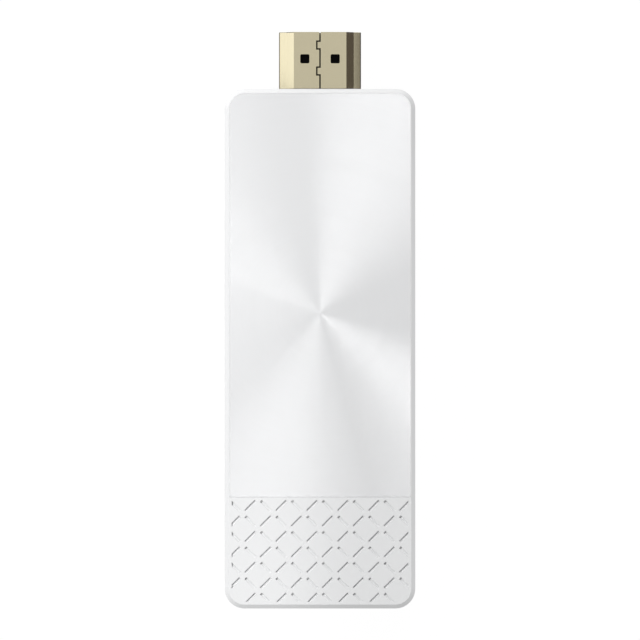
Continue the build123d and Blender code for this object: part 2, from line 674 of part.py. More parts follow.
def video_contact_rows():
    """X places of the contacts on the back side (-1) and the front side (+1) of the slot."""
    rows = []
    for side, count in ((-1, BACK_CONTACT_COUNT), (1, FRONT_CONTACT_COUNT)):
        for n in range(count):
            rows.append((side, (n - (count - 1) / 2) * VIDEO_CONTACT_PITCH))
    return rows


def video_contacts():
    """Nineteen strips on the slot's walls, bent at the back to lie on both faces of the board."""
    slot_z = TONGUE_SLOT_HEIGHT / 2
    tail_z = BOARD_THICKNESS / 2 + VIDEO_CONTACT_THICKNESS / 2
    front_y = PLUG_TIP_Y - INSULATOR_RECESS - VIDEO_CONTACT_SETBACK
    bend_y = PLUG_REAR_Y - VIDEO_TAIL_BEND
    tail_y = bend_y - VIDEO_TAIL_LENGTH
    path = [(front_y, slot_z), (PLUG_REAR_Y, slot_z), (bend_y, tail_z), (tail_y, tail_z)]
    strips = []
    for side, x in video_contact_rows():
        profile = contact_strip([(y, PARTING_Z + side * z) for y, z in path], VIDEO_CONTACT_THICKNESS)
        strips.append(run_along_x(profile, x - VIDEO_CONTACT_WIDTH / 2, x + VIDEO_CONTACT_WIDTH / 2))
    return strips


def plug_insulator():
    """The black block in the plug: a slot for the socket's tongue, channels and latch pockets."""
    front_y = PLUG_TIP_Y - INSULATOR_RECESS
    body = run_along_y(placed_plug_outline(PLUG_SHEET + INSULATOR_FIT), PLUG_REAR_Y, front_y)
    slot_y = front_y - TONGUE_SLOT_DEPTH
    slot_z = TONGUE_SLOT_HEIGHT / 2
    slot = run_along_y(Pos(0, PARTING_Z) * Rectangle(TONGUE_SLOT_WIDTH, 2 * slot_z), slot_y, front_y + PAST)
    channel_y = front_y - VIDEO_CONTACT_SETBACK + INSULATOR_FIT
    channel = Rectangle(VIDEO_CONTACT_WIDTH + 2 * INSULATOR_FIT, VIDEO_CONTACT_THICKNESS + 2 * INSULATOR_FIT)
    channels = [
        run_along_y(Pos(x, PARTING_Z + side * slot_z) * channel, PLUG_REAR_Y - PAST, channel_y)
        for side, x in video_contact_rows()
    ]
    size = LATCH_HOLE + 2 * LATCH_POCKET_MARGIN
    pocket_z = PLUG_HEIGHT / 2 - PLUG_SHEET - LATCH_POCKET_DEPTH
    pockets = []
    for x, y in latch_places():
        pocket = Pos(x, y) * Rectangle(size, size)
        pockets.append(plate(pocket, PARTING_Z + pocket_z, PARTING_Z + PLUG_HEIGHT))
        pockets.append(plate(pocket, PARTING_Z - PLUG_HEIGHT, PARTING_Z - pocket_z))
    return body - slot - channels - pockets


def main_board():
    """The board, notched for the power socket, slit for the plug's legs and drilled."""
    middle_y = (BOARD_PLUG_Y + BOARD_END_Y) / 2
    outline = Pos(0, middle_y) * RectangleRounded(
        2 * BOARD_HALF_WIDTH, BOARD_PLUG_Y - BOARD_END_Y, BOARD_CORNER_RADIUS
    )
    board = plate(outline, BOARD_BACK_Z, BOARD_FRONT_Z)
    z0, z1 = BOARD_BACK_Z - PAST, BOARD_FRONT_Z + PAST
    notch_x = SOCKET_WIDTH / 2 + SOCKET_CLEARANCE
    notch_y = SOCKET_REAR_Y + SOCKET_TAIL_BEND + SOCKET_CLEARANCE
    board -= block(-notch_x, notch_x, BOARD_END_Y - PAST, notch_y, z0, z1)
    slit_in = PLUG_WIDTH / 2 - PLUG_SHEET - LEG_SLIT_CLEARANCE
    slit_out = PLUG_WIDTH / 2 + LEG_SLIT_CLEARANCE
    slit_y = PLUG_REAR_Y - PLUG_LEG_LENGTH - LEG_SLIT_CLEARANCE
    board -= block(slit_in, slit_out, slit_y, BOARD_PLUG_Y + PAST, z0, z1)
    board -= block(-slit_out, -slit_in, slit_y, BOARD_PLUG_Y + PAST, z0, z1)
    for x, y in SCREW_PLACES:
        board -= upright_rod(x, y, z0, z1, SCREW_RADIUS + BOARD_HOLE_CLEARANCE)
    for x, y in PIN_PLACES:
        board -= upright_rod(x, y, z0, z1, PIN_RADIUS + SCREW_FIT)
    return board


def board_screws():
    """Two pan-head screws that hold the board to its bosses. Threads are left plain."""
    screws = []
    for x, y in SCREW_PLACES:
        screw = upright_rod(x, y, BOARD_FRONT_Z - SCREW_LENGTH, BOARD_FRONT_Z, SCREW_RADIUS)
        head_z = BOARD_FRONT_Z + SCREW_HEAD_HEIGHT
        head = upright_rod(x, y, BOARD_FRONT_Z, head_z, SCREW_HEAD_RADIUS)
        screw += fillet(head.edges().group_by(Axis.Z)[-1], SCREW_HEAD_ROUNDING)
        for turn in (0, 90):
            groove = Box(SCREW_CROSS_LENGTH, SCREW_CROSS_WIDTH, 2 * SCREW_CROSS_DEPTH)
            screw -= Pos(x, y, head_z) * Rotation(0, 0, turn) * groove
        screws.append(screw)
    return screws


def chip(x, y, width, length, height):
    """A moulded chip on the board's front: bevelled top and a dimple at its first corner."""
    top_z = BOARD_FRONT_Z + height
    body = plate(Pos(x, y) * Rectangle(width, length), BOARD_FRONT_Z, top_z)
    body = chamfer(body.edges().group_by(Axis.Z)[-1], CHIP_CHAMFER)
    dimple_x = x - width / 2 + CHIP_DIMPLE_INSET
    dimple_y = y + length / 2 - CHIP_DIMPLE_INSET
    return body - upright_rod(dimple_x, dimple_y, top_z - CHIP_DIMPLE_DEPTH, top_z + PAST, CHIP_DIMPLE_RADIUS)


def on_back(part):
    """The same part mounted on the board's other face, keeping its X and Y place."""
    return mirror(part, about=Plane.XY.offset(PARTING_Z))


def processor():
    """The processor: a flat carrier with a smaller moulded cap."""
    carrier = plate(
        Pos(0, PROCESSOR_Y) * Rectangle(PROCESSOR_SIZE, PROCESSOR_SIZE),
        BOARD_FRONT_Z, BOARD_FRONT_Z + PROCESSOR_SUBSTRATE,
    )
    cap_size = PROCESSOR_SIZE - 2 * PROCESSOR_CAP_MARGIN
    cap = chip(0, PROCESSOR_Y, cap_size, cap_size, PROCESSOR_HEIGHT)
    return carrier + cap


def memory_chips():
    """Two memory chips side by side below the processor."""
    x = (MEMORY_WIDTH + MEMORY_GAP) / 2
    return [chip(side * x, MEMORY_Y, MEMORY_WIDTH, MEMORY_LENGTH, MEMORY_HEIGHT) for side in (-1, 1)]


def flash_chip():
    """The storage chip on the board's back, behind the processor."""
    return on_back(chip(0, FLASH_Y, FLASH_WIDTH, FLASH_LENGTH, FLASH_HEIGHT))


def shield_outline(grow):
    """The screening can's outline, grown by an amount."""
    radius = max(SHIELD_RADIUS + grow, SMALLEST_RADIUS / 2)
    return Pos(0, SHIELD_Y) * RectangleRounded(SHIELD_WIDTH + 2 * grow, SHIELD_LENGTH + 2 * grow, radius)


def shield_frame():
    """The soldered fence of the screening can, with a flange turned in at its top."""
    wall = shield_outline(0) - shield_outline(-SHIELD_SHEET)
    flange = shield_outline(0) - shield_outline(-SHIELD_FLANGE)
    return plate(wall, BOARD_FRONT_Z, SHIELD_LID_Z) + plate(flange, SHIELD_LID_Z - SHIELD_SHEET, SHIELD_LID_Z)


def shield_lid():
    """The can's snap-on lid: a plate with a skirt, drilled over the memory chips."""
    outer = shield_outline(SHIELD_FIT + SHIELD_SHEET)
    lid = plate(outer, SHIELD_LID_Z, SHIELD_LID_Z + SHIELD_SHEET)
    lid += plate(outer - shield_outline(SHIELD_FIT), SHIELD_LID_Z - SHIELD_SKIRT, SHIELD_LID_Z)
    grid = GridLocations(SHIELD_HOLE_PITCH, SHIELD_HOLE_PITCH, SHIELD_HOLE_COLUMNS, SHIELD_HOLE_ROWS)
    for place in grid.locations:
        x, y = place.position.X, MEMORY_Y + place.position.Y
        lid -= upright_rod(x, y, SHIELD_LID_Z - PAST, SHIELD_LID_Z + PAST, SHIELD_HOLE_RADIUS)
    return lid


def processor_pad():
    """The soft pad between the processor and the can's lid."""
    size = PROCESSOR_SIZE - 2 * PROCESSOR_PAD_MARGIN
    return plate(Pos(0, PROCESSOR_Y) * Rectangle(size, size), BOARD_FRONT_Z + PROCESSOR_HEIGHT, SHIELD_LID_Z)


def spreader_pad():
    """The soft pad between the can's lid and the heat spreader."""
    outline = Pos(0, PROCESSOR_Y) * Rectangle(PROCESSOR_SIZE, PROCESSOR_SIZE)
    return plate(outline, SHIELD_LID_Z + SHIELD_SHEET, SPREADER_BACK_Z)


def heat_spreader():
    """The aluminium plate under the front cover, hung on four melted pins."""
    outline = Pos(0, SHIELD_Y) * RectangleRounded(2 * SPREADER_HALF_WIDTH, SPREADER_LENGTH, SPREADER_RADIUS)
    spreader = plate(outline, SPREADER_BACK_Z, SPREADER_TOP_Z)
    hole_radius = STAKE_RADIUS + STAKE_CLEARANCE
    for x, y in STAKE_PLACES:
        spreader -= upright_rod(x, y, SPREADER_BACK_Z - PAST, SPREADER_TOP_Z + PAST, hole_radius)
    return spreader


def power_chip():
    """The power controller on the board's back."""
    return on_back(chip(0, POWER_CHIP_Y, POWER_CHIP_SIZE, POWER_CHIP_SIZE, POWER_CHIP_HEIGHT))


def power_inductors():
    """Moulded inductors in a row on the board's back."""
    inductors = []
    for n in range(INDUCTOR_COUNT):
        outline = Pos((n - (INDUCTOR_COUNT - 1) / 2) * INDUCTOR_PITCH, POWER_ROW_Y)
        outline = outline * Rectangle(INDUCTOR_SIZE, INDUCTOR_SIZE)
        body = plate(outline, BOARD_FRONT_Z, BOARD_FRONT_Z + INDUCTOR_HEIGHT)
        inductors.append(on_back(chamfer(body.edges().filter_by(Axis.Z), INDUCTOR_CHAMFER)))
    return inductors


def bulk_capacitors():
    """Two moulded capacitors on the board's back, beside the power controller."""
    x = POWER_CHIP_SIZE / 2 + BULK_GAP + BULK_WIDTH / 2
    return [on_back(chip(side * x, POWER_CHIP_Y, BULK_WIDTH, BULK_LENGTH, BULK_HEIGHT)) for side in (-1, 1)]


def small_part(x, y, height):
    """A two-ended small part, lying along X, with slightly larger metal ends."""
    core = Pos(x, y) * Rectangle(CERAMIC_LENGTH, CERAMIC_WIDTH - 2 * CERAMIC_CAP_PROUD)
    body = plate(core, BOARD_FRONT_Z, BOARD_FRONT_Z + height - CERAMIC_CAP_PROUD)
    for side in (-1, 1):
        cap = Pos(x + side * (CERAMIC_LENGTH - CERAMIC_CAP) / 2, y) * Rectangle(CERAMIC_CAP, CERAMIC_WIDTH)
        body += plate(cap, BOARD_FRONT_Z, BOARD_FRONT_Z + height)
    return body


def small_row(count, middle_x, y, height):
    """Small parts side by side along X."""
    return [small_part(middle_x + (n - (count - 1) / 2) * CERAMIC_PITCH, y, height) for n in range(count)]


def ceramic_capacitors():
    """Rows of small capacitors round the processor and beside the radio module."""
    above_y = PROCESSOR_Y + PROCESSOR_SIZE / 2 + ROW_FROM_CHIP
    below_y = MEMORY_Y - MEMORY_LENGTH / 2 - ROW_FROM_CHIP
    parts = small_row(CERAMIC_ROW_COUNT, 0, above_y, CERAMIC_HEIGHT)
    parts += small_row(CERAMIC_ROW_COUNT, 0, below_y, CERAMIC_HEIGHT)
    for n in range(CERAMIC_GRID_ROWS):
        y = RADIO_Y + (n - (CERAMIC_GRID_ROWS - 1) / 2) * CERAMIC_PITCH
        parts += small_row(CERAMIC_GRID_COLUMNS, RADIO_SIDE_X, y, CERAMIC_HEIGHT)
    return parts


def chip_resistors():
    """A row of small resistors on the board's back, beside the storage chip."""
    y = FLASH_Y - FLASH_LENGTH / 2 - ROW_FROM_CHIP
    return [on_back(part) for part in small_row(RESISTOR_COUNT, 0, y, RESISTOR_HEIGHT)]


def crystals():
    """Clock crystals in flat metal cans: one by the processor, one by the radio module."""
    beside_processor = (PROCESSOR_SIZE / 2 + CRYSTAL_GAP + CRYSTAL_WIDTH / 2, PROCESSOR_Y)
    below_grid_y = RADIO_Y - CERAMIC_GRID_ROWS * CERAMIC_PITCH / 2 - CRYSTAL_GAP - CRYSTAL_LENGTH / 2
    cans = []
    for x, y in (beside_processor, (RADIO_SIDE_X, below_grid_y)):
        base_z = BOARD_FRONT_Z + CRYSTAL_BASE_HEIGHT
        base = plate(Pos(x, y) * Rectangle(CRYSTAL_WIDTH, CRYSTAL_LENGTH), BOARD_FRONT_Z, base_z)
        lid_width = CRYSTAL_WIDTH - 2 * CRYSTAL_LID_MARGIN
        lid_length = CRYSTAL_LENGTH - 2 * CRYSTAL_LID_MARGIN
        lid = Pos(x, y) * RectangleRounded(lid_width, lid_length, CRYSTAL_LID_RADIUS)
        cans.append(base + plate(lid, base_z, BOARD_FRONT_Z + CRYSTAL_HEIGHT))
    return cans


def surge_chips():
    """Two small surge protectors on the video lines, just behind the plug."""
    y = BOARD_PLUG_Y - SURGE_FROM_PLUG_EDGE
    return [chip(side * SURGE_SPACING / 2, y, SURGE_WIDTH, SURGE_LENGTH, SURGE_HEIGHT) for side in (-1, 1)]


def radio_outline(margin):
    """The radio module's square, drawn in by a margin."""
    size = RADIO_SIZE - 2 * margin
    return Pos(-RADIO_OFFSET, RADIO_Y) * RectangleRounded(size, size, RADIO_CAN_RADIUS)


def radio_board():
    """The radio module's own thin board, soldered on the main board."""
    return plate(radio_outline(0), BOARD_FRONT_Z, BOARD_FRONT_Z + RADIO_BOARD_THICKNESS)


def radio_can():
    """The pressed can over the radio module."""
    z0 = BOARD_FRONT_Z + RADIO_BOARD_THICKNESS
    z1 = z0 + RADIO_CAN_HEIGHT
    can = plate(radio_outline(RADIO_CAN_MARGIN), z0, z1)
    can = fillet(can.edges().group_by(Axis.Z)[-1], RADIO_CAN_ROUNDING)
    return can - plate(radio_outline(RADIO_CAN_MARGIN + SHIELD_SHEET), z0, z1 - SHIELD_SHEET)


def antenna(side):
    """A stamped antenna: a raised strip on a feed leg, a ground leg and a far foot."""
    x = side * (HALF_WIDTH - ANTENNA_FROM_SIDE)
    half = ANTENNA_WIDTH / 2
    y0 = ANTENNA_FROM_END - HALF_LENGTH
    y1 = y0 + ANTENNA_LENGTH
    top_z = BOARD_FRONT_Z + ANTENNA_HEIGHT
    strip = block(x - half, x + half, y0, y1, top_z - ANTENNA_SHEET, top_z)
    outer_x = x + side * (half - ANTENNA_SHEET / 2)
    leg = Rectangle(ANTENNA_SHEET, ANTENNA_LEG_WIDTH)
    feed_y = y1 - ANTENNA_LEG_WIDTH / 2
    for y in (feed_y, feed_y - ANTENNA_LEG_SPACING, y0 + ANTENNA_LEG_WIDTH / 2):
        strip += plate(Pos(outer_x, y) * leg, BOARD_FRONT_Z, top_z)
    return strip


def socket_shell():
    """The power socket's folded shell, its mouth just inside the case, with two board wings."""
    shell = run_along_y(
        placed_socket_outline(0) - placed_socket_outline(SOCKET_SHEET), SOCKET_MOUTH_Y, SOCKET_REAR_Y
    )
    in_x, out_x = SOCKET_WIDTH / 2 - SOCKET_SHEET, SOCKET_WIDTH / 2 + SOCKET_WING_WIDTH
    wing_y1 = SOCKET_REAR_Y - SOCKET_CLEARANCE
    wing_z1 = BOARD_FRONT_Z + SOCKET_SHEET
    for x0, x1 in ((in_x, out_x), (-out_x, -in_x)):
        shell += block(x0, x1, wing_y1 - SOCKET_WING_LENGTH, wing_y1, BOARD_FRONT_Z, wing_z1)
    return shell


def socket_contact_xs():
    """X places of the power socket's contacts."""
    return [(n - (SOCKET_CONTACT_COUNT - 1) / 2) * SOCKET_CONTACT_PITCH for n in range(SOCKET_CONTACT_COUNT)]


def socket_contacts():
    """Five strips under the tongue, bent at the back to lie on the board."""
    run_z = PARTING_Z + SOCKET_TONGUE_LIFT - SOCKET_CONTACT_THICKNESS / 2
    tail_z = BOARD_FRONT_Z + SOCKET_CONTACT_THICKNESS / 2
    front_y = SOCKET_MOUTH_Y + SOCKET_TONGUE_SETBACK + SOCKET_CONTACT_WIDTH
    bend_y = SOCKET_REAR_Y + SOCKET_TAIL_BEND
    path = [(front_y, run_z), (SOCKET_REAR_Y, run_z), (bend_y, tail_z), (bend_y + SOCKET_TAIL_LENGTH, tail_z)]
    profile = contact_strip(path, SOCKET_CONTACT_THICKNESS)
    half = SOCKET_CONTACT_WIDTH / 2
    return [run_along_x(profile, x - half, x + half) for x in socket_contact_xs()]


def socket_insulator():
    """The power socket's black block and tongue, with channels for the contacts."""
    fit = SOCKET_SHEET + INSULATOR_FIT
    block_y = SOCKET_REAR_Y - SOCKET_BLOCK_LENGTH
    body = run_along_y(placed_socket_outline(fit), block_y, SOCKET_REAR_Y)
    tongue_x = SOCKET_TONGUE_WIDTH / 2
    tongue_z = PARTING_Z + SOCKET_TONGUE_LIFT
    tongue_y = SOCKET_MOUTH_Y + SOCKET_TONGUE_SETBACK
    body += block(-tongue_x, tongue_x, tongue_y, block_y, tongue_z, tongue_z + SOCKET_TONGUE_THICKNESS)
    channel = Rectangle(SOCKET_CONTACT_WIDTH, SOCKET_CONTACT_THICKNESS)
    channel_z = tongue_z - SOCKET_CONTACT_THICKNESS / 2
    for x in socket_contact_xs():
        body -= run_along_y(Pos(x, channel_z) * channel, block_y - PAST, SOCKET_REAR_Y + PAST)
    return body


def button_cap():
    """The reset button: a stadium-shaped stem in the side wall, with a flange behind the wall."""
    place = Pos(BUTTON_Y, BUTTON_Z)
    stem = place * SlotOverall(BUTTON_LENGTH, BUTTON_WIDTH)
    stem = run_along_x(stem, FLANGE_IN_X, HALF_WIDTH - BUTTON_SETBACK)
    stem = fillet(stem.edges().group_by(Axis.X)[-1], BUTTON_EDGE)
    flange = place * RectangleRounded(BUTTON_FLANGE_LENGTH, BUTTON_FLANGE_WIDTH, BUTTON_FLANGE_RADIUS)
    return stem + run_along_x(flange, FLANGE_IN_X, FLANGE_OUT_X)


def switch_body():
    """The side-push switch's housing, hollow, with a mouth for the plunger."""
    place = Pos(BUTTON_Y, SWITCH_Z)
    body = run_along_x(place * Rectangle(SWITCH_LENGTH, SWITCH_HEIGHT), SWITCH_BACK_X, SWITCH_FRONT_X)
    body = chamfer(body.edges().filter_by(Axis.X), SWITCH_CHAMFER)
    inside = place * Rectangle(SWITCH_LENGTH - 2 * SWITCH_WALL, SWITCH_HEIGHT - 2 * SWITCH_WALL)
    body -= run_along_x(inside, SWITCH_BACK_X + SWITCH_WALL, SWITCH_FRONT_X - SWITCH_WALL)
    mouth = place * Rectangle(PLUNGER_LENGTH + 2 * PLUNGER_FIT, PLUNGER_HEIGHT + 2 * PLUNGER_FIT)
    return body - run_along_x(mouth, PLUNGER_HEAD_X, SWITCH_FRONT_X + PAST)


def switch_plunger():
    """The switch's own plunger: a stem to the button and a wider head inside."""
    place = Pos(BUTTON_Y, SWITCH_Z)
    head = place * Rectangle(PLUNGER_HEAD_LENGTH, INNER_SWITCH_HEIGHT)
    stem = place * Rectangle(PLUNGER_LENGTH, PLUNGER_HEIGHT)
    plunger = run_along_x(head, PLUNGER_HEAD_X - PLUNGER_HEAD_DEPTH, PLUNGER_HEAD_X)
    return plunger + run_along_x(stem, PLUNGER_HEAD_X, FLANGE_IN_X - BUTTON_FLANGE_GAP)


def leaf_arc(shift):
    """The leaf's arch seen from the front, shifted along X."""
    foot_x = SWITCH_BACK_X + SWITCH_WALL + shift
    apex_x = LEAF_APEX_X - LEAF_THICKNESS + shift
    ends = [(foot_x, BUTTON_Y - LEAF_SPAN / 2), (foot_x, BUTTON_Y + LEAF_SPAN / 2)]
    return ThreePointArc(ends[0], (apex_x, BUTTON_Y), ends[1])


def switch_leaf():
    """The arched steel leaf behind the plunger, drawn unpressed and clear of its stroke."""
    inner, outer = leaf_arc(0), leaf_arc(LEAF_THICKNESS)
    ends = [Line(outer @ 1, inner @ 1), Line(outer @ 0, inner @ 0)]
    profile = make_face(Curve() + [outer, inner] + ends)
    return plate(profile, SWITCH_Z - INNER_SWITCH_HEIGHT / 2, SWITCH_Z + INNER_SWITCH_HEIGHT / 2)


def status_light():
    """The side-facing light at the board's edge, with a round window."""
    place = Pos(LIGHT_Y, BOARD_FRONT_Z + LIGHT_HEIGHT / 2)
    outline = place * Rectangle(LIGHT_LENGTH, LIGHT_HEIGHT)
    body = run_along_x(outline, LIGHT_FRONT_X - LIGHT_DEPTH, LIGHT_FRONT_X)
    window = place * Circle(LIGHT_WINDOW_RADIUS)
    return body - run_along_x(window, LIGHT_FRONT_X - LIGHT_WINDOW_DEPTH, LIGHT_FRONT_X + PAST)


def light_pipe():
    """The clear rod that carries the light to the case's side, with a flange behind the wall."""
    place = Pos(LIGHT_Y, BUTTON_Z)
    rod = run_along_x(place * Circle(PIPE_RADIUS), LIGHT_FRONT_X + PIPE_GAP, HALF_WIDTH)
    return rod + run_along_x(place * Circle(PIPE_FLANGE_RADIUS), INNER_X - PIPE_FLANGE_THICKNESS, INNER_X)


NODES = {
    "front_cover": front_cover,
    "rear_cover": rear_cover,
    "spin_panel": spin_panel,
    "panel_adhesive": panel_adhesive,
    "rating_label": rating_label,
    "plug_shell": plug_shell,
    "plug_insulator": plug_insulator,
    "video_contacts": video_contacts,
    "main_board": main_board,
    "board_screws": board_screws,
    "processor": processor,
    "memory_chips": memory_chips,
    "flash_chip": flash_chip,
    "shield_frame": shield_frame,
    "shield_lid": shield_lid,
    "processor_pad": processor_pad,
    "spreader_pad": spreader_pad,
    "heat_spreader": heat_spreader,
    "power_chip": power_chip,
    "power_inductors": power_inductors,
    "bulk_capacitors": bulk_capacitors,
    "ceramic_capacitors": ceramic_capacitors,
    "chip_resistors": chip_resistors,
    "crystals": crystals,
    "surge_chips": surge_chips,
    "radio_board": radio_board,
    "radio_can": radio_can,
    "antenna_left": lambda: antenna(-1),
    "antenna_right": lambda: antenna(1),
    "socket_shell": socket_shell,
    "socket_insulator": socket_insulator,
    "socket_contacts": socket_contacts,
    "button_cap": button_cap,
    "switch_body": switch_body,
    "switch_plunger": switch_plunger,
    "switch_leaf": switch_leaf,
    "status_light": status_light,
    "light_pipe": light_pipe,
}

os.makedirs("parts", exist_ok=True)
for name, make in NODES.items():
    made = make()
    solids = [solid for piece in (made if isinstance(made, list) else [made]) for solid in piece.solids()]
    export_step(solids[0] if len(solids) == 1 else Compound(solids), f"parts/{name}.step")
    print(name, len(solids))
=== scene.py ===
# %% [markdown]
# A wireless display dongle: a slim white stick with a gilt video plug at one end. Its front has a
# large panel with a spun finish and, below it, a field of short grooves on a diagonal lattice.
#
# The shapes are already built and packed, so this lesson is about dressing them: the finish of every
# piece, a camera straight above, and studio light that shows a white object on a white ground.
# The stick lies on its back: +Z comes out of its front face and +Y points at the video plug.

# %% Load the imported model
import json
import math

import bpy
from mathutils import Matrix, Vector


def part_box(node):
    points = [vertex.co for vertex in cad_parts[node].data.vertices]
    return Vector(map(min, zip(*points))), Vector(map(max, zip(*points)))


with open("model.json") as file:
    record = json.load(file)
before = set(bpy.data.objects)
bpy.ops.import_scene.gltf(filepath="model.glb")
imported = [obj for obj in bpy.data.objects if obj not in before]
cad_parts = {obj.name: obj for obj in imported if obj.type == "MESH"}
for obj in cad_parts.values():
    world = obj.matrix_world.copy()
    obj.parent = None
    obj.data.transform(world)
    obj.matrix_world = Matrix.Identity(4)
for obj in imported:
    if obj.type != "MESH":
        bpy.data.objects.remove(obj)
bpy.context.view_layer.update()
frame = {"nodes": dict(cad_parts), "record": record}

print("pieces in the model:", len(frame["nodes"]))

# %% [markdown]
# What lies on or beside the model is placed from the model's own boxes, so that it follows a change of
# size. The spin turns about one point of the front face. No solid marks it, so it has its own value.

# %% Places taken from the model
MM = 0.001
case_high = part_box("rear_cover")[1]
panel_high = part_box("spin_panel")[1]
plug_low, plug_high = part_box("plug_shell")
FRONT_Z = panel_high.z
SPIN_CENTRE_Y = 6.05 * MM
SPIN_CENTRE = Vector((0.0, SPIN_CENTRE_Y, FRONT_Z))
print("front face at", round(FRONT_Z / MM, 2), "mm")
print("spin centre at y =", round(SPIN_CENTRE_Y / MM, 2), "mm")

# %% [markdown]
# A finish is a small program of nodes. Written out by hand it takes a dozen lines to say a * b + c, so
# two small classes do that work. Wire stands for one output and knows arithmetic: an expression on it
# adds Math nodes. Finish stands for a whole material: it makes any node from its type, its settings
# and its inputs, and closes with one shader whose steady values sit on the shader's own sockets.

# %% A socket that does arithmetic
class Wire:
    def __init__(self, finish, socket):
        self.finish = finish
        self.socket = socket

    def math(self, operation, *values):
        """A Math node on the given values, or on this wire alone where none are given."""
        inputs = dict(enumerate(values or (self,)))
        return self.finish.node("ShaderNodeMath", {"operation": operation}, inputs)

    def __add__(self, other):
        return self.math("ADD", self, other)

    def __radd__(self, other):
        return self.math("ADD", other, self)

    def __sub__(self, other):
        return self.math("SUBTRACT", self, other)

    def __rsub__(self, other):
        return self.math("SUBTRACT", other, self)

    def __mul__(self, other):
        return self.math("MULTIPLY", self, other)

    def __rmul__(self, other):
        return self.math("MULTIPLY", other, self)

    def __truediv__(self, other):
        return self.math("DIVIDE", self, other)

    def __rtruediv__(self, other):
        return self.math("DIVIDE", other, self)

    def __gt__(self, other):
        return self.math("GREATER_THAN", self, other)

    def __lt__(self, other):
        return self.math("LESS_THAN", self, other)


print("arithmetic on sockets: + - * / > <")

# %% A material that makes its own nodes
class Finish:
    def __init__(self, name, owner=None):
        self.owner = owner or bpy.data.materials.new(name)
        self.owner.use_nodes = True
        self.tree = self.owner.node_tree
        self.tree.nodes.clear()

    def put(self, socket, value):
        """Links a wire to a socket, or writes a steady value on it."""
        if isinstance(value, Wire):
            self.tree.links.new(value.socket, socket)
        elif isinstance(value, tuple) and len(value) == 3 and len(socket.default_value) == 4:
            socket.default_value = (*value, 1.0)
        else:
            socket.default_value = value

    def node(self, kind, settings=None, inputs=None, output=0):
        """Makes a node and gives back the wire of one of its outputs."""
        made = self.tree.nodes.new(kind)
        for name, value in (settings or {}).items():
            setattr(made, name, value)
        for name, value in (inputs or {}).items():
            self.put(made.inputs[name], value)
        return Wire(self, made.outputs[output]) if made.outputs else None

    def surface(self, **sockets):
        """Ends the material with one Principled shader."""
        shader = self.node("ShaderNodeBsdfPrincipled", inputs=sockets)
        self.node("ShaderNodeOutputMaterial", inputs={"Surface": shader})
        return self.owner


print("one method makes every node")

# %% [markdown]
# A few patterns come back in nearly every finish: a cloud of soft variation, a fine grain, and relief
# made from either. They are measured on the object's own coordinates in real sizes, so a grain of
# 0.1 mm is 0.1 mm on each piece. Short helpers keep the finishes readable.

# %% Patterns in real sizes
def place(finish):
    """The object's own coordinates, in metres."""
    return finish.node("ShaderNodeTexCoord", output="Object")


def axes(finish, names):
    """A wire for each axis that is named, such as "XY"."""
    split = finish.node("ShaderNodeSeparateXYZ", inputs={"Vector": place(finish)})
    outputs = split.socket.node.outputs
    return [Wire(finish, outputs[name]) for name in names]


def clouds(finish, size, detail=2.0, roughness=0.5, point=None):
    """Soft noise from 0 to 1, with features of a given size in metres."""
    return finish.node(
        "ShaderNodeTexNoise",
        inputs={
            "Vector": point or place(finish),
            "Scale": 1.0 / size,
            "Detail": detail,
            "Roughness": roughness,
        },
    )


def spread(finish, value, low, high):
    """Stretches a value from 0..1 to low..high."""
    return finish.node(
        "ShaderNodeMapRange",
        inputs={"Value": value, "To Min": low, "To Max": high},
    )


def relief(finish, height, depth):
    """Bumps of a real depth in metres."""
    return finish.node(
        "ShaderNodeBump",
        inputs={"Height": height, "Distance": depth, "Strength": 1.0},
    )


print("patterns: clouds, spread, relief")

# %% [markdown]
# Two colours are blended by a share from 0 to 1. The Mix node keeps a set of sockets for each kind of
# value and shows one set at a time, so its colour sockets are named here by their places.

# %% Colours
MIX_SHARE, MIX_FIRST, MIX_SECOND = 0, 6, 7
MIX_RESULT = 2
WHITE = (1.0, 1.0, 1.0)


def blend_colours(finish, share, first, second):
    """The first colour where the share is 0, the second where it is 1."""
    return finish.node(
        "ShaderNodeMix",
        {"data_type": "RGBA"},
        {MIX_SHARE: share, MIX_FIRST: first, MIX_SECOND: second},
        output=MIX_RESULT,
    )


def shaded(colour, share):
    """A colour made darker or lighter, up to full brightness."""
    return tuple(min(1.0, share * part) for part in colour)


print("colours: blend_colours, shaded")

# %% [markdown]
# The two covers are white plastic from a mould with a fine satin texture, like most small electronics.
# A real one is nearly even in colour, and what the eye reads is the soft, slightly broken gloss. So the
# colour hardly moves, the roughness moves a little, and a grain of a tenth of a millimetre breaks up
# the highlights. A plain white with one roughness would look like paper or like glazed china.

# %% Satin white plastic
def satin_plastic(name, colour, grain):
    finish = Finish(name)
    cloud = clouds(finish, size=9.0 * MM)
    fine = clouds(finish, size=grain, detail=3.0, roughness=0.6)
    return finish.surface(**{
        "Base Color": blend_colours(finish, cloud, shaded(colour, 0.985), colour),
        "Roughness": spread(finish, fine, low=0.38, high=0.5),
        "Normal": relief(finish, fine, depth=0.004 * MM),
        "IOR": 1.49,
    })


case_white = satin_plastic("case_white", (0.802, 0.807, 0.811), grain=0.1 * MM)
print("made", case_white.name)

# %% [markdown]
# The front panel looks like metal turned on a lathe: thousands of fine concentric grooves, so that a
# light draws two opposite fans through the centre. Anisotropic gloss could imitate that, but
# its direction is lost when a model is exported. Here the grooves are real slopes: the surface normal
# leans towards or away from the centre by an amount that changes quickly with the radius. A light then
# shows only where grooves lean its way, on a line through the centre, and that is what draws the fans.
#
# The grooves are far finer than a pixel, because coarser ones break the fans into ragged arcs. On the
# whole the normal leans a little outwards, as where a tool cuts one flank steeper than the other, so a
# fan is stronger on the light's own side of the centre. Wider rings lie over the grooves and barely
# show.
#
# The panel is a pearl white, part paint and part metal flake, so its metal share is well under one.

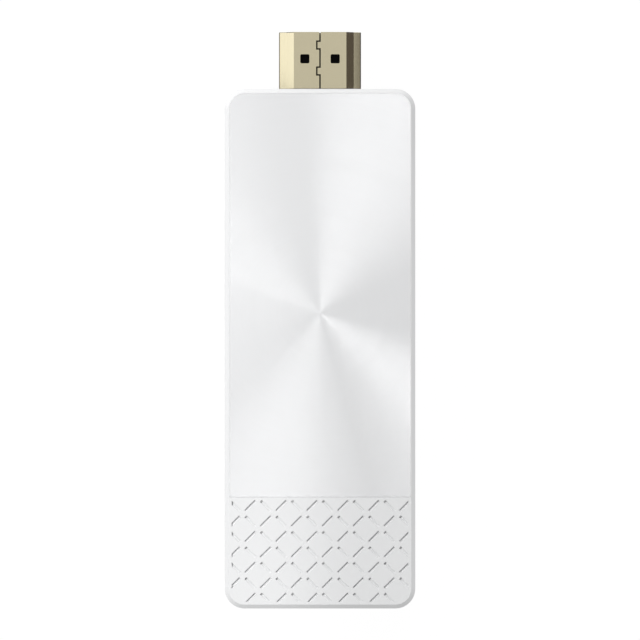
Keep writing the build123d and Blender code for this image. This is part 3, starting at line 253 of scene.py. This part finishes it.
# %% Spun pearl panel
GROOVE_PITCH = 0.003 * MM
GROOVE_LEAN = 1.9
OUTWARD_LEAN = 0.09
RING_PITCH = 0.5 * MM
RING_LEAN = 0.03
FLAKE_SHARE = 0.3
PEARL = (0.766, 0.77, 0.778)
PEARL_SHADE = (0.754, 0.758, 0.766)


def round_noise(finish, radius, pitch, detail, roughness):
    """Noise that changes only with the distance from the centre."""
    return finish.node(
        "ShaderNodeTexNoise",
        {"noise_dimensions": "1D"},
        {"W": radius / pitch, "Scale": 1.0, "Detail": detail, "Roughness": roughness},
    )


def vector_math(finish, operation, inputs, output="Vector"):
    return finish.node("ShaderNodeVectorMath", {"operation": operation}, inputs, output)


def spun_pearl():
    finish = Finish("spun_pearl")
    x, y = axes(finish, "XY")
    outward = finish.node(
        "ShaderNodeCombineXYZ",
        inputs={"X": x, "Y": y - SPIN_CENTRE_Y, "Z": 0.0},
    )
    radius = vector_math(finish, "LENGTH", {0: outward}, output="Value")
    direction = vector_math(finish, "NORMALIZE", {0: outward})
    grooves = round_noise(finish, radius, GROOVE_PITCH, detail=1.0, roughness=0.5)
    rings = round_noise(finish, radius, RING_PITCH, detail=2.0, roughness=0.6)
    lean = (grooves - 0.5) * GROOVE_LEAN + (rings - 0.5) * RING_LEAN + OUTWARD_LEAN
    tilt = vector_math(finish, "SCALE", {0: direction, "Scale": lean})
    flat = finish.node("ShaderNodeNewGeometry", output="Normal")
    leaning = vector_math(finish, "ADD", {0: flat, 1: tilt})
    return finish.surface(**{
        "Base Color": blend_colours(finish, rings, PEARL_SHADE, PEARL),
        "Metallic": FLAKE_SHARE,
        "Roughness": spread(finish, rings, low=0.11, high=0.15),
        "Normal": vector_math(finish, "NORMALIZE", {0: leaning}),
    })


panel_pearl = spun_pearl()
print("made", panel_pearl.name)

# %% [markdown]
# The plug's shell is thin steel sheet, folded and plated with a pale gold. Rolled sheet keeps faint
# lines along its length under the plating. A plated metal has no colour of its own to paint: all it
# shows is what it mirrors, tinted. So it is fully metallic, and its roughness changes across the lines.
#
# Shade is painted into the gilt's colour in three places. A darker gilt on the outermost bends is a
# painted reflection of the dark ground round them. A darker gilt where the shell goes into the case and
# inside the shell is painted shade. A share worked out from the coordinates blends it in. The contacts
# have a richer gold all over.

# %% Where shade is painted on the gilt
# Painted shade: the dark gilt that stands for reflected and cast shade on the plug.
PAINTED_SHADE_GILT = (0.13, 0.115, 0.08)
BEND_FADE = (0.22 * MM, 0.08 * MM)
ROOT_FADE = (0.3 * MM, 0.06 * MM)
UNDER_SHEET = 0.25 * MM
INSIDE_HALF_WIDTH = 4.3 * MM


def fade(finish, value, start, end):
    """0 at the start, 1 at the end, smooth between."""
    return finish.node(
        "ShaderNodeMapRange",
        {"interpolation_type": "SMOOTHSTEP"},
        {"Value": value, "From Min": start, "From Max": end},
    )


def largest(first, *others):
    """The largest of several values."""
    for other in others:
        first = first.math("MAXIMUM", first, other)
    return first


def painted_shade_share(finish):
    """Where shade is painted: 1 on the outermost bends (a painted dark reflection), at the shell's root
    and inside it (painted shade), and 0 on the rest.
    """
    x, y, z = axes(finish, "XYZ")
    from_middle = x.math("ABSOLUTE")
    bend_start, bend_end = [plug_high.x - reach for reach in BEND_FADE]
    root_start, root_end = [case_high.y + reach for reach in ROOT_FADE]
    bend = fade(finish, from_middle, bend_start, bend_end)
    root = fade(finish, y, root_start, root_end)
    between = (z > plug_low.z + UNDER_SHEET) * (z < plug_high.z - UNDER_SHEET)
    inside = between * (from_middle < INSIDE_HALF_WIDTH)
    return largest(bend, root, inside)


print("gilt fades over", [round(reach / MM, 2) for reach in BEND_FADE + ROOT_FADE], "mm")

# %% Pale gold plate
def drawn_lines(finish, size, detail, stretch):
    """Clouds pulled out into lines. The smaller an axis's factor, the longer they are along it."""
    point = finish.node(
        "ShaderNodeMapping",
        inputs={"Vector": place(finish), "Scale": stretch},
    )
    return clouds(finish, size, detail, point=point)


def gold_plate(name, colour, darker, roughness, painted_shade=None):
    finish = Finish(name)
    lines = drawn_lines(finish, size=0.09 * MM, detail=2.0, stretch=(1.0, 0.05, 1.0))
    cloud = clouds(finish, size=3.0 * MM)
    base = blend_colours(finish, cloud, darker, colour)
    if painted_shade:
        # Painted shade: the dark gilt is blended in where the share is 1.
        base = blend_colours(finish, painted_shade(finish), base, PAINTED_SHADE_GILT)
    return finish.surface(**{
        "Base Color": base,
        "Metallic": 1.0,
        "Roughness": spread(finish, lines, *roughness),
        "Normal": relief(finish, lines, depth=0.0012 * MM),
    })


plug_gilt = gold_plate(
    "plug_gilt",
    colour=(0.514, 0.466, 0.326),
    darker=(0.498, 0.452, 0.316),
    roughness=(0.14, 0.22),
    painted_shade=painted_shade_share,
)
contact_gold = gold_plate(
    "contact_gold",
    colour=(0.95, 0.74, 0.4),
    darker=(0.9, 0.68, 0.34),
    roughness=(0.16, 0.28),
)
print("made", plug_gilt.name, contact_gold.name)

# %% [markdown]
# Most dark parts are moulded: the plug's and the socket's insulators and the bodies of chips and coils.
# They differ in how grey and how coarse they are, so one recipe with a few numbers does them. The
# insulators are black plastic, but their colour is set darker than that, as painted shade, and they
# hardly shine, so that the plug's windows and mouth look deep.

# %% Moulded dark parts
def moulding(name, colour, roughness, grain, ior=1.5):
    finish = Finish(name)
    fine = clouds(finish, size=grain, detail=3.0, roughness=0.65)
    cloud = clouds(finish, size=12.0 * grain)
    return finish.surface(**{
        "Base Color": blend_colours(finish, cloud, colour, shaded(colour, 1.25)),
        "Roughness": spread(finish, fine, low=roughness - 0.08, high=roughness + 0.08),
        "Normal": relief(finish, fine, depth=0.003 * MM),
        "IOR": ior,
    })


# Partly the plastic's own black and partly painted shade: darker than black plastic, standing for the
# shade in the plug's windows and mouth.
insulator_black_and_shade = moulding(
    "insulator_black_and_shade", (0.0022, 0.0022, 0.0025), roughness=0.5, grain=0.08 * MM, ior=1.1
)
chip_black = moulding("chip_black", (0.035, 0.036, 0.04), roughness=0.62, grain=0.06 * MM)
inductor_grey = moulding("inductor_grey", (0.09, 0.092, 0.1), roughness=0.7, grain=0.12 * MM)
print("made", insulator_black_and_shade.name, chip_black.name, inductor_grey.name)

# %% [markdown]
# Bare metals are the socket's nickel-plated shell, the tin-plated screening cans, the zinc-plated
# screws and the aluminium heat spreader. Rolling leaves lines one way and handling leaves a few soft
# stains. They could be painted as colour, but a metal shows them in its gloss, so both go into the
# roughness. Screws aren't rolled, so their pattern isn't stretched.

# %% Bare metals
ALONG_STICK = (1.0, 0.04, 1.0)
NO_STRETCH = (1.0, 1.0, 1.0)


def sheet_metal(name, colour, roughness, line, stretch=ALONG_STICK):
    finish = Finish(name)
    lines = drawn_lines(finish, size=line, detail=3.0, stretch=stretch)
    stains = clouds(finish, size=2.5 * MM, detail=4.0)
    wear = lines * 0.6 + stains * 0.4
    return finish.surface(**{
        "Base Color": blend_colours(finish, stains, shaded(colour, 0.9), colour),
        "Metallic": 1.0,
        "Roughness": spread(finish, wear, low=roughness - 0.1, high=roughness + 0.1),
        "Normal": relief(finish, lines, depth=0.002 * MM),
    })


TINNED = (0.7, 0.7, 0.69)
socket_nickel = sheet_metal("socket_nickel", (0.72, 0.71, 0.69), roughness=0.27, line=0.1 * MM)
can_tin = sheet_metal("can_tin", TINNED, roughness=0.36, line=0.15 * MM)
screw_zinc = sheet_metal(
    "screw_zinc", (0.62, 0.63, 0.66), roughness=0.33, line=0.2 * MM, stretch=NO_STRETCH
)
spreader_metal = sheet_metal("spreader_metal", (0.82, 0.82, 0.83), roughness=0.4, line=0.25 * MM)
print("made", socket_nickel.name, can_tin.name, screw_zinc.name, spreader_metal.name)

# %% [markdown]
# The label in the back is a white sheet with a satin coating, and it is left blank. A second plain
# white would vanish against the cover. The real sheet is smoother than the grained plastic round it
# and a touch greyer, and very faint fibres show in its gloss, so these three things tell them apart.

# %% Blank label sheet
PAPER = (0.76, 0.76, 0.755)
PAPER_FIBRE = (0.73, 0.73, 0.73)


def label_paper():
    finish = Finish("label_paper")
    fibres = clouds(finish, size=0.25 * MM, detail=5.0, roughness=0.7)
    return finish.surface(**{
        "Base Color": blend_colours(finish, fibres, PAPER_FIBRE, PAPER),
        "Roughness": spread(finish, fibres, low=0.3, high=0.42),
        "Normal": relief(finish, fibres, depth=0.002 * MM),
    })


label_white = label_paper()
print("made", label_white.name)

# %% [markdown]
# The board is glass cloth under a green lacquer. Copper tracks show through it as lighter lines, and
# the cloth as a faint weave. A real layout could be drawn track by track, but the closed case hides
# the board, so straight tracks are enough: they run along it, and a slow noise decides where. The
# weave is the product of two sine waves. Their length is given for one radian, so a thread and a gap
# together are 2 pi times that, or 0.4 mm.

# %% Lacquered board
TRACK_PITCH = 0.5 * MM
TRACK_GAP_SHARE = 0.45
CLOTH_RADIAN = 0.064 * MM
LACQUER_DARK = (0.012, 0.075, 0.035)
LACQUER = (0.02, 0.1, 0.05)
LACQUERED_COPPER = (0.03, 0.16, 0.075)


def board_lacquer():
    finish = Finish("board_lacquer")
    x, y = axes(finish, "XY")
    across_track = (x / TRACK_PITCH).math("FRACT")
    bands = clouds(finish, size=7.0 * MM, detail=1.0)
    tracks = (across_track > TRACK_GAP_SHARE) * (bands > 0.5)
    cloth_x, cloth_y = [(axis / CLOTH_RADIAN).math("SINE") for axis in (x, y)]
    weave = cloth_x * cloth_y * 0.5 + 0.5
    lacquer = blend_colours(finish, weave * 0.3, LACQUER_DARK, LACQUER)
    return finish.surface(**{
        "Base Color": blend_colours(finish, tracks, lacquer, LACQUERED_COPPER),
        "Roughness": spread(finish, weave, low=0.24, high=0.32),
        "Normal": relief(finish, tracks * 0.8 + weave * 0.2, depth=0.02 * MM),
        "Coat Weight": 0.3,
    })


board_green = board_lacquer()
print("made", board_green.name)

# %% [markdown]
# The small ceramic parts have metal ends and a body of their own colour. They stand in rows at one
# pitch along X, so the distance from the nearest middle tells body from end, and one material does a
# whole row. The offset slides the pattern along X until its middles fall on a row's parts. The
# moulded capacitors are plain ochre blocks, and take the recipe of the dark mouldings.

# %% Ceramic bodies with tinned ends
PART_PITCH = 1.5 * MM
BODY_HALF = 0.25 * MM


def ended_ceramic(name, body, offset):
    finish = Finish(name)
    x = axes(finish, "X")[0]
    along_pitch = ((x - offset) / PART_PITCH).math("FRACT")
    from_middle = (along_pitch - 0.5).math("ABSOLUTE")
    ends = from_middle > BODY_HALF / PART_PITCH
    speckle = clouds(finish, size=0.08 * MM, detail=3.0)
    ceramic = blend_colours(finish, speckle, body, shaded(body, 1.2))
    return finish.surface(**{
        "Base Color": blend_colours(finish, ends, ceramic, TINNED),
        "Metallic": ends,
        "Roughness": spread(finish, speckle, low=0.3, high=0.5),
        "Normal": relief(finish, speckle, depth=0.004 * MM),
    })


capacitor_tan = ended_ceramic("capacitor_tan", (0.36, 0.24, 0.14), offset=0.0)
resistor_black = ended_ceramic("resistor_black", (0.02, 0.02, 0.022), offset=0.5 * PART_PITCH)
tantalum_ochre = moulding("tantalum_ochre", (0.55, 0.3, 0.05), roughness=0.5, grain=0.1 * MM)
print("made", capacitor_tan.name, resistor_black.name, tantalum_ochre.name)

# %% [markdown]
# Soft and clear things: the heat pads are a bluish filled rubber, the adhesive a yellowish clear film,
# the light pipe clear plastic, and the light's housing white with a round window of yellow phosphor.
# The window has no edge of its own, so it is a share of colour inside a radius and not a shape. The
# button's cap is moulded like the covers, in a white that is a touch darker.

# %% Pads, film and light
PAD_DARK = (0.2, 0.3, 0.42)
PAD_LIGHT = (0.3, 0.42, 0.55)
LIGHT_HOUSING = (0.75, 0.75, 0.73)
PHOSPHOR = (0.85, 0.66, 0.12)
PHOSPHOR_RADIUS = 0.45 * MM


def heat_pad():
    finish = Finish("heat_pad")
    filler = clouds(finish, size=0.12 * MM, detail=5.0, roughness=0.75)
    return finish.surface(**{
        "Base Color": blend_colours(finish, filler, PAD_DARK, PAD_LIGHT),
        "Roughness": spread(finish, filler, low=0.6, high=0.85),
        "Normal": relief(finish, filler, depth=0.015 * MM),
    })


def clear_plastic(name, colour, haze):
    finish = Finish(name)
    streaks = clouds(finish, size=1.2 * MM)
    return finish.surface(**{
        "Base Color": blend_colours(finish, streaks, colour, shaded(colour, 1.03)),
        "Roughness": spread(finish, streaks, low=haze, high=haze + 0.06),
        "Normal": relief(finish, streaks, depth=0.003 * MM),
        "Transmission Weight": 0.85,
        "IOR": 1.49,
    })


def light_body():
    finish = Finish("light_body")
    y, z = axes(finish, "YZ")
    low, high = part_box("status_light")
    middle = (low + high) / 2
    across, up = y - middle.y, z - middle.z
    window = across * across + up * up < PHOSPHOR_RADIUS ** 2
    grain = clouds(finish, size=0.1 * MM, detail=3.0)
    return finish.surface(**{
        "Base Color": blend_colours(finish, window, LIGHT_HOUSING, PHOSPHOR),
        "Roughness": spread(finish, grain, low=0.3, high=0.45),
        "Normal": relief(finish, grain, depth=0.004 * MM),
    })


pad_blue = heat_pad()
film_clear = clear_plastic("film_clear", (0.86, 0.85, 0.78), haze=0.12)
pipe_clear = clear_plastic("pipe_clear", (0.93, 0.95, 0.96), haze=0.08)
light_white = light_body()
button_white = satin_plastic("button_white", (0.74, 0.745, 0.75), grain=0.08 * MM)
print("made", pad_blue.name, film_clear.name, pipe_clear.name, light_white.name, button_white.name)

# %% [markdown]
# Each material belongs to a kind of surface in the record of the object, its slot, and every piece of
# the model names its slot. So one table from slot to finish dresses all the pieces, and a piece that
# is added later is dressed by its slot without another line.

# %% Dress every piece by its slot
FINISH_OF_SLOT = {
    "case_plastic": case_white,
    "spun_panel": panel_pearl,
    "adhesive_film": film_clear,
    "label_sheet": label_white,
    "plug_metal": plug_gilt,
    "black_insulator": insulator_black_and_shade,
    "gold_contacts": contact_gold,
    "board_laminate": board_green,
    "steel_fixings": screw_zinc,
    "chip_moulding": chip_black,
    "tinned_sheet": can_tin,
    "thermal_pad": pad_blue,
    "spreader_aluminium": spreader_metal,
    "inductor_moulding": inductor_grey,
    "capacitor_moulding": tantalum_ochre,
    "capacitor_ceramic": capacitor_tan,
    "resistor_ceramic": resistor_black,
    "socket_steel": socket_nickel,
    "button_plastic": button_white,
    "light_housing": light_white,
    "clear_plastic": pipe_clear,
}

subparts = frame["record"]["subparts"]
for part in subparts:
    mesh = frame["nodes"][part["node"]].data
    mesh.materials.clear()
    mesh.materials.append(FINISH_OF_SLOT[part["material_slot"]])
print("dressed", len(subparts), "pieces")

# %% [markdown]
# The stick is seen from straight above and from far away, so there is almost no perspective. A long
# lens from 1.4 m does the same. How much of the front face fills the frame sets the lens, and the
# middle of the frame lies a little towards the plug.

# %% Camera
CAMERA_DISTANCE = 1.4
FRAME_WIDTH = 108.1 * MM
FRAME_MIDDLE_Y = 4.85 * MM
SENSOR = 36.0
FARTHEST_SEEN = 10.0
STUDIO = bpy.context.scene.collection

camera_data = bpy.data.cameras.new("camera")
camera_data.sensor_width = SENSOR
camera_data.lens = SENSOR * CAMERA_DISTANCE / FRAME_WIDTH
camera_data.clip_end = FARTHEST_SEEN
camera = bpy.data.objects.new("camera", camera_data)
camera.location = (0.0, FRAME_MIDDLE_Y, FRONT_Z + CAMERA_DISTANCE)
STUDIO.objects.link(camera)
bpy.context.scene.camera = camera
print("lens", round(camera_data.lens), "mm")

# %% [markdown]
# The ground is plain white. To the camera and to mirrors most of its white is its own glow, and the
# rest is lit, so it reads as clean white and still takes the soft shadow of the stick. It could be
# lit to white by stronger lamps, but they would wash out the white stick as well.
#
# Seen from below it lets the view through, so that the back of the stick can be looked at too. It is
# hidden from diffuse rays, so it throws no light up, and the room alone lights the back.

# %% Floor
FLOOR_SIZE = 6.0
FLOOR_DROP = 0.1 * MM
FLOOR_GREY = (0.45, 0.45, 0.45)
GLOW_LEVEL = 1.08
GLOW_SHARE = 0.9


def seen_or_mirrored(finish):
    """1 for a ray that the camera sends, straight, off a gloss or through glass, and 0 for others."""
    kinds = ("Is Camera Ray", "Is Glossy Ray", "Is Transmission Ray")
    return largest(*[finish.node("ShaderNodeLightPath", output=kind) for kind in kinds])


def floor_material():
    finish = Finish("floor_white")
    lit = finish.node("ShaderNodeBsdfDiffuse", inputs={"Color": FLOOR_GREY})
    glow = finish.node("ShaderNodeEmission", inputs={"Color": WHITE, "Strength": GLOW_LEVEL})
    share = seen_or_mirrored(finish) * GLOW_SHARE
    ground = finish.node("ShaderNodeMixShader", inputs={0: share, 1: lit, 2: glow})
    clear = finish.node("ShaderNodeBsdfTransparent")
    below = finish.node("ShaderNodeNewGeometry", output="Backfacing")
    whole = finish.node("ShaderNodeMixShader", inputs={0: below, 1: ground, 2: clear})
    finish.node("ShaderNodeOutputMaterial", inputs={"Surface": whole})
    return finish.owner


bpy.ops.object.select_all(action="DESELECT")
bpy.ops.mesh.primitive_plane_add(size=FLOOR_SIZE, location=(0.0, 0.0, -FLOOR_DROP))
floor = bpy.context.object
floor.name = "floor"
floor.visible_diffuse = False
floor.data.materials.append(floor_material())
print("floor", FLOOR_SIZE, "m wide")

# %% [markdown]
# The room gives an even light from all round, at a level that leaves a white object room to shade. To
# the camera and to mirrors it is plain white, so that the background is clean.

# %% Room light
ROOM_LEVEL = 0.565
SEEN_LEVEL = 1.0


def room_light():
    world = bpy.data.worlds.new("room")
    bpy.context.scene.world = world
    finish = Finish("room", owner=world)
    level = spread(finish, seen_or_mirrored(finish), low=ROOM_LEVEL, high=SEEN_LEVEL)
    sky = finish.node("ShaderNodeBackground", inputs={"Color": WHITE, "Strength": level})
    finish.node("ShaderNodeOutputWorld", inputs={"Surface": sky})


room_light()
print("room level", ROOM_LEVEL)

# %% [markdown]
# Two soft boxes stand low, one at the upper left and one beyond the plug, and give the bevelled edge
# its bright and dark sides. A spot from high on the left has its soft edge across the stick, so its
# light fades from the left half to the right. A wide box overhead lifts the front a little.
#
# Lamps are aimed with a quaternion that turns their back to the room. They are hidden from the camera
# and from mirrors, because a lamp that both lights and is mirrored can't be set for the one without
# the other. What the metal mirrors is hung separately, in the next step.

# %% Lamps
SPOT_RADIUS = 4.0 * MM


def away(azimuth, polar):
    """The direction from the stick to a place in the room, in degrees round +Z and down from it."""
    turn, fall = math.radians(azimuth), math.radians(polar)
    flat = math.sin(fall)
    return Vector((flat * math.cos(turn), flat * math.sin(turn), math.cos(fall)))


def hang_lamp(lamp, where, target):
    holder = bpy.data.objects.new(lamp.name, lamp)
    holder.location = where
    holder.rotation_mode = "QUATERNION"
    holder.rotation_quaternion = (where - target).to_track_quat("Z", "Y")
    holder.visible_camera = False
    holder.visible_glossy = False
    STUDIO.objects.link(holder)


def soft_box(name, azimuth, polar, distance, width, height, power):
    lamp = bpy.data.lights.new(name, "AREA")
    lamp.shape = "RECTANGLE"
    lamp.size = width
    lamp.size_y = height
    lamp.energy = power
    hang_lamp(lamp, SPIN_CENTRE + distance * away(azimuth, polar), SPIN_CENTRE)


def edged_spot(name, where, edge_at, softness, power):
    """A spot that looks straight down. Its cone just reaches one point, with a soft rim."""
    target = Vector((where.x, where.y, FRONT_Z))
    lamp = bpy.data.lights.new(name, "SPOT")
    lamp.spot_size = 2.0 * (edge_at - where).angle(target - where)
    lamp.spot_blend = softness
    lamp.shadow_soft_size = SPOT_RADIUS
    lamp.energy = power
    hang_lamp(lamp, where, target)


soft_box("left_box", azimuth=147.0, polar=62.0, distance=0.9, width=0.36, height=0.4, power=3.1)
soft_box("top_box", azimuth=72.0, polar=62.0, distance=0.9, width=0.42, height=0.4, power=2.1)
edged_spot(
    "half_light",
    where=Vector((-0.332, -0.025, 1.0)),
    edge_at=Vector((7.0 * MM, 4.0 * MM, FRONT_Z)),
    softness=0.095,
    power=8.2,
)
soft_box("ceiling", azimuth=0.0, polar=0.0, distance=1.5, width=0.8, height=0.8, power=0.9)

# %% [markdown]
# What a polished thing looks like is mostly what stands round it. Photographers know this and hang
# white and black cards round it. Here the cards show in reflections only, and none lights the object.
#
# Over the spun panel hang bright sectors, and each draws a fan on its own side of the centre and one
# across it. Three hang high. How far from the middle a card starts sets how bright its fan is, degree
# by degree, so the inner edges are curves. The fourth and a plain strip beside it hang low on the
# left, for the light that stays near the panel's centre and left edge.

# %% Sectors over the panel
HIGH = 720.0 * MM
LOW = 54.0 * MM
OUTER_STEPS = 8
SIDE_FAN = [
    (288, 800), (295, 650), (300, 560), (305, 470), (311, 355), (316, 300),
    (323, 296), (330, 365), (336, 480), (342, 640), (346, 900),
]
TOP_FAN = [
    (28, 620), (34, 510), (40, 440), (45, 385), (50, 345), (60, 285),
    (70, 258), (79, 248), (84, 275), (88, 360), (91, 480), (94, 620),
]
LOWER_FAN = [(228, 620), (237, 460), (244, 330), (256, 290), (267, 320), (275, 400), (284, 560)]
LEFT_FAN = [(147, 60), (150, 34), (154, 26), (162, 31), (188, 32), (200, 42), (212, 60)]


def card(name, corners, level, colour=WHITE):
    """A flat glowing card. Its mesh is one face with the given outline."""
    mesh = bpy.data.meshes.new(name)
    mesh.from_pydata([tuple(corner) for corner in corners], [], [tuple(range(len(corners)))])
    finish = Finish(name)
    glow = finish.node("ShaderNodeEmission", inputs={"Color": colour, "Strength": level})
    finish.node("ShaderNodeOutputMaterial", inputs={"Surface": glow})
    mesh.materials.append(finish.owner)
    made = bpy.data.objects.new(name, mesh)
    made.visible_camera = False
    made.visible_diffuse = False
    made.visible_transmission = False
    made.visible_shadow = False
    STUDIO.objects.link(made)


def fan_card(name, height, inner_edge, far, level):
    """A sector above the spin's centre. Its inner edge is given as pairs: degrees, millimetres."""
    first, last = inner_edge[0][0], inner_edge[-1][0]
    steps = range(OUTER_STEPS + 1)
    outer_edge = [(last + (first - last) * n / OUTER_STEPS, far) for n in steps]
    middle = SPIN_CENTRE + Vector((0.0, 0.0, height))
    corners = []
    for degrees, reach in inner_edge + outer_edge:
        turn = math.radians(degrees)
        corners.append(middle + reach * MM * Vector((math.cos(turn), math.sin(turn), 0.0)))
    card(name, corners, level)


def level_card(name, x_range, y_range, z, level, colour=WHITE):
    """A card lying level at a height."""
    (x0, x1), (y0, y1) = x_range, y_range
    card(name, [(x0, y0, z), (x1, y0, z), (x1, y1, z), (x0, y1, z)], level, colour)


fan_card("side_fan", HIGH, SIDE_FAN, far=920, level=4.4)
fan_card("top_fan", HIGH, TOP_FAN, far=648, level=3.4)
fan_card("lower_fan", HIGH, LOWER_FAN, far=920, level=2.3)
fan_card("left_fan", LOW, LEFT_FAN, far=80, level=2.5)
level_card(
    "left_wall",
    x_range=(-110.0 * MM, -26.0 * MM),
    y_range=(-22.0 * MM, 200.0 * MM),
    z=48.6 * MM,
    level=1.4,
)
print("sectors hung", round(HIGH / MM), "and", round(LOW / MM), "mm above the panel")

# %% [markdown]
# The plug mirrors the cards beside it. Two bright ones stand on its left, one over the other, because
# a steep facet and a shallow one look at different heights. A dark strip beside them ends where the
# case does, so the facets darken towards the case, and the ground under them is dark. On the right the
# card and the ground are dark and a little brown. One card all round would leave the metal flat: it is
# the difference between the sides that makes it look folded.

# %% Cards beside the plug
BROWN = (1.0, 0.88, 0.84)
BRIGHT_X = -60.0 * MM
DARK_X = 40.0 * MM
LEFT_GROUND = (-20.0 * MM, -7.5 * MM)
RIGHT_GROUND = (8.0 * MM, DARK_X)
SHADE_START = case_high.y - 5.0 * MM
SHADE_END = case_high.y + 0.15 * MM
CARD_END = plug_high.y + 14.0 * MM
PLUG_REACH = (plug_low.y, CARD_END)
BRIGHT_REACH = (SHADE_END, CARD_END)
BRIGHT_SPLIT = 14.0 * MM
BRIGHT_TOP = 60.0 * MM
DARK_TOP = 25.2 * MM


def side_card(name, x, y_range, z_range, level, colour=WHITE):
    """An upright card across X."""
    (y0, y1), (z0, z1) = y_range, z_range
    card(name, [(x, y0, z0), (x, y1, z0), (x, y1, z1), (x, y0, z1)], level, colour)


side_card("bright_side", BRIGHT_X, BRIGHT_REACH, (0.0, BRIGHT_SPLIT), level=1.98)
side_card("bright_upper", BRIGHT_X, BRIGHT_REACH, (BRIGHT_SPLIT, BRIGHT_TOP), level=1.84)
side_card("left_shade", BRIGHT_X, (SHADE_START, SHADE_END), (0.0, BRIGHT_TOP), level=0.02)
level_card("left_ground", LEFT_GROUND, PLUG_REACH, z=0.0, level=0.1)
side_card("dark_side", DARK_X, PLUG_REACH, (0.0, DARK_TOP), level=0.165, colour=BROWN)
level_card("dark_ground", RIGHT_GROUND, PLUG_REACH, z=0.0, level=0.155, colour=BROWN)
print("cards beside the plug reach from", round(PLUG_REACH[0] / MM), "to", round(CARD_END / MM), "mm")

# %% [markdown]
# The picture's colours are left plain, so that a colour written here is the colour seen.

# %% Finish
bpy.context.scene.view_settings.view_transform = "Standard"
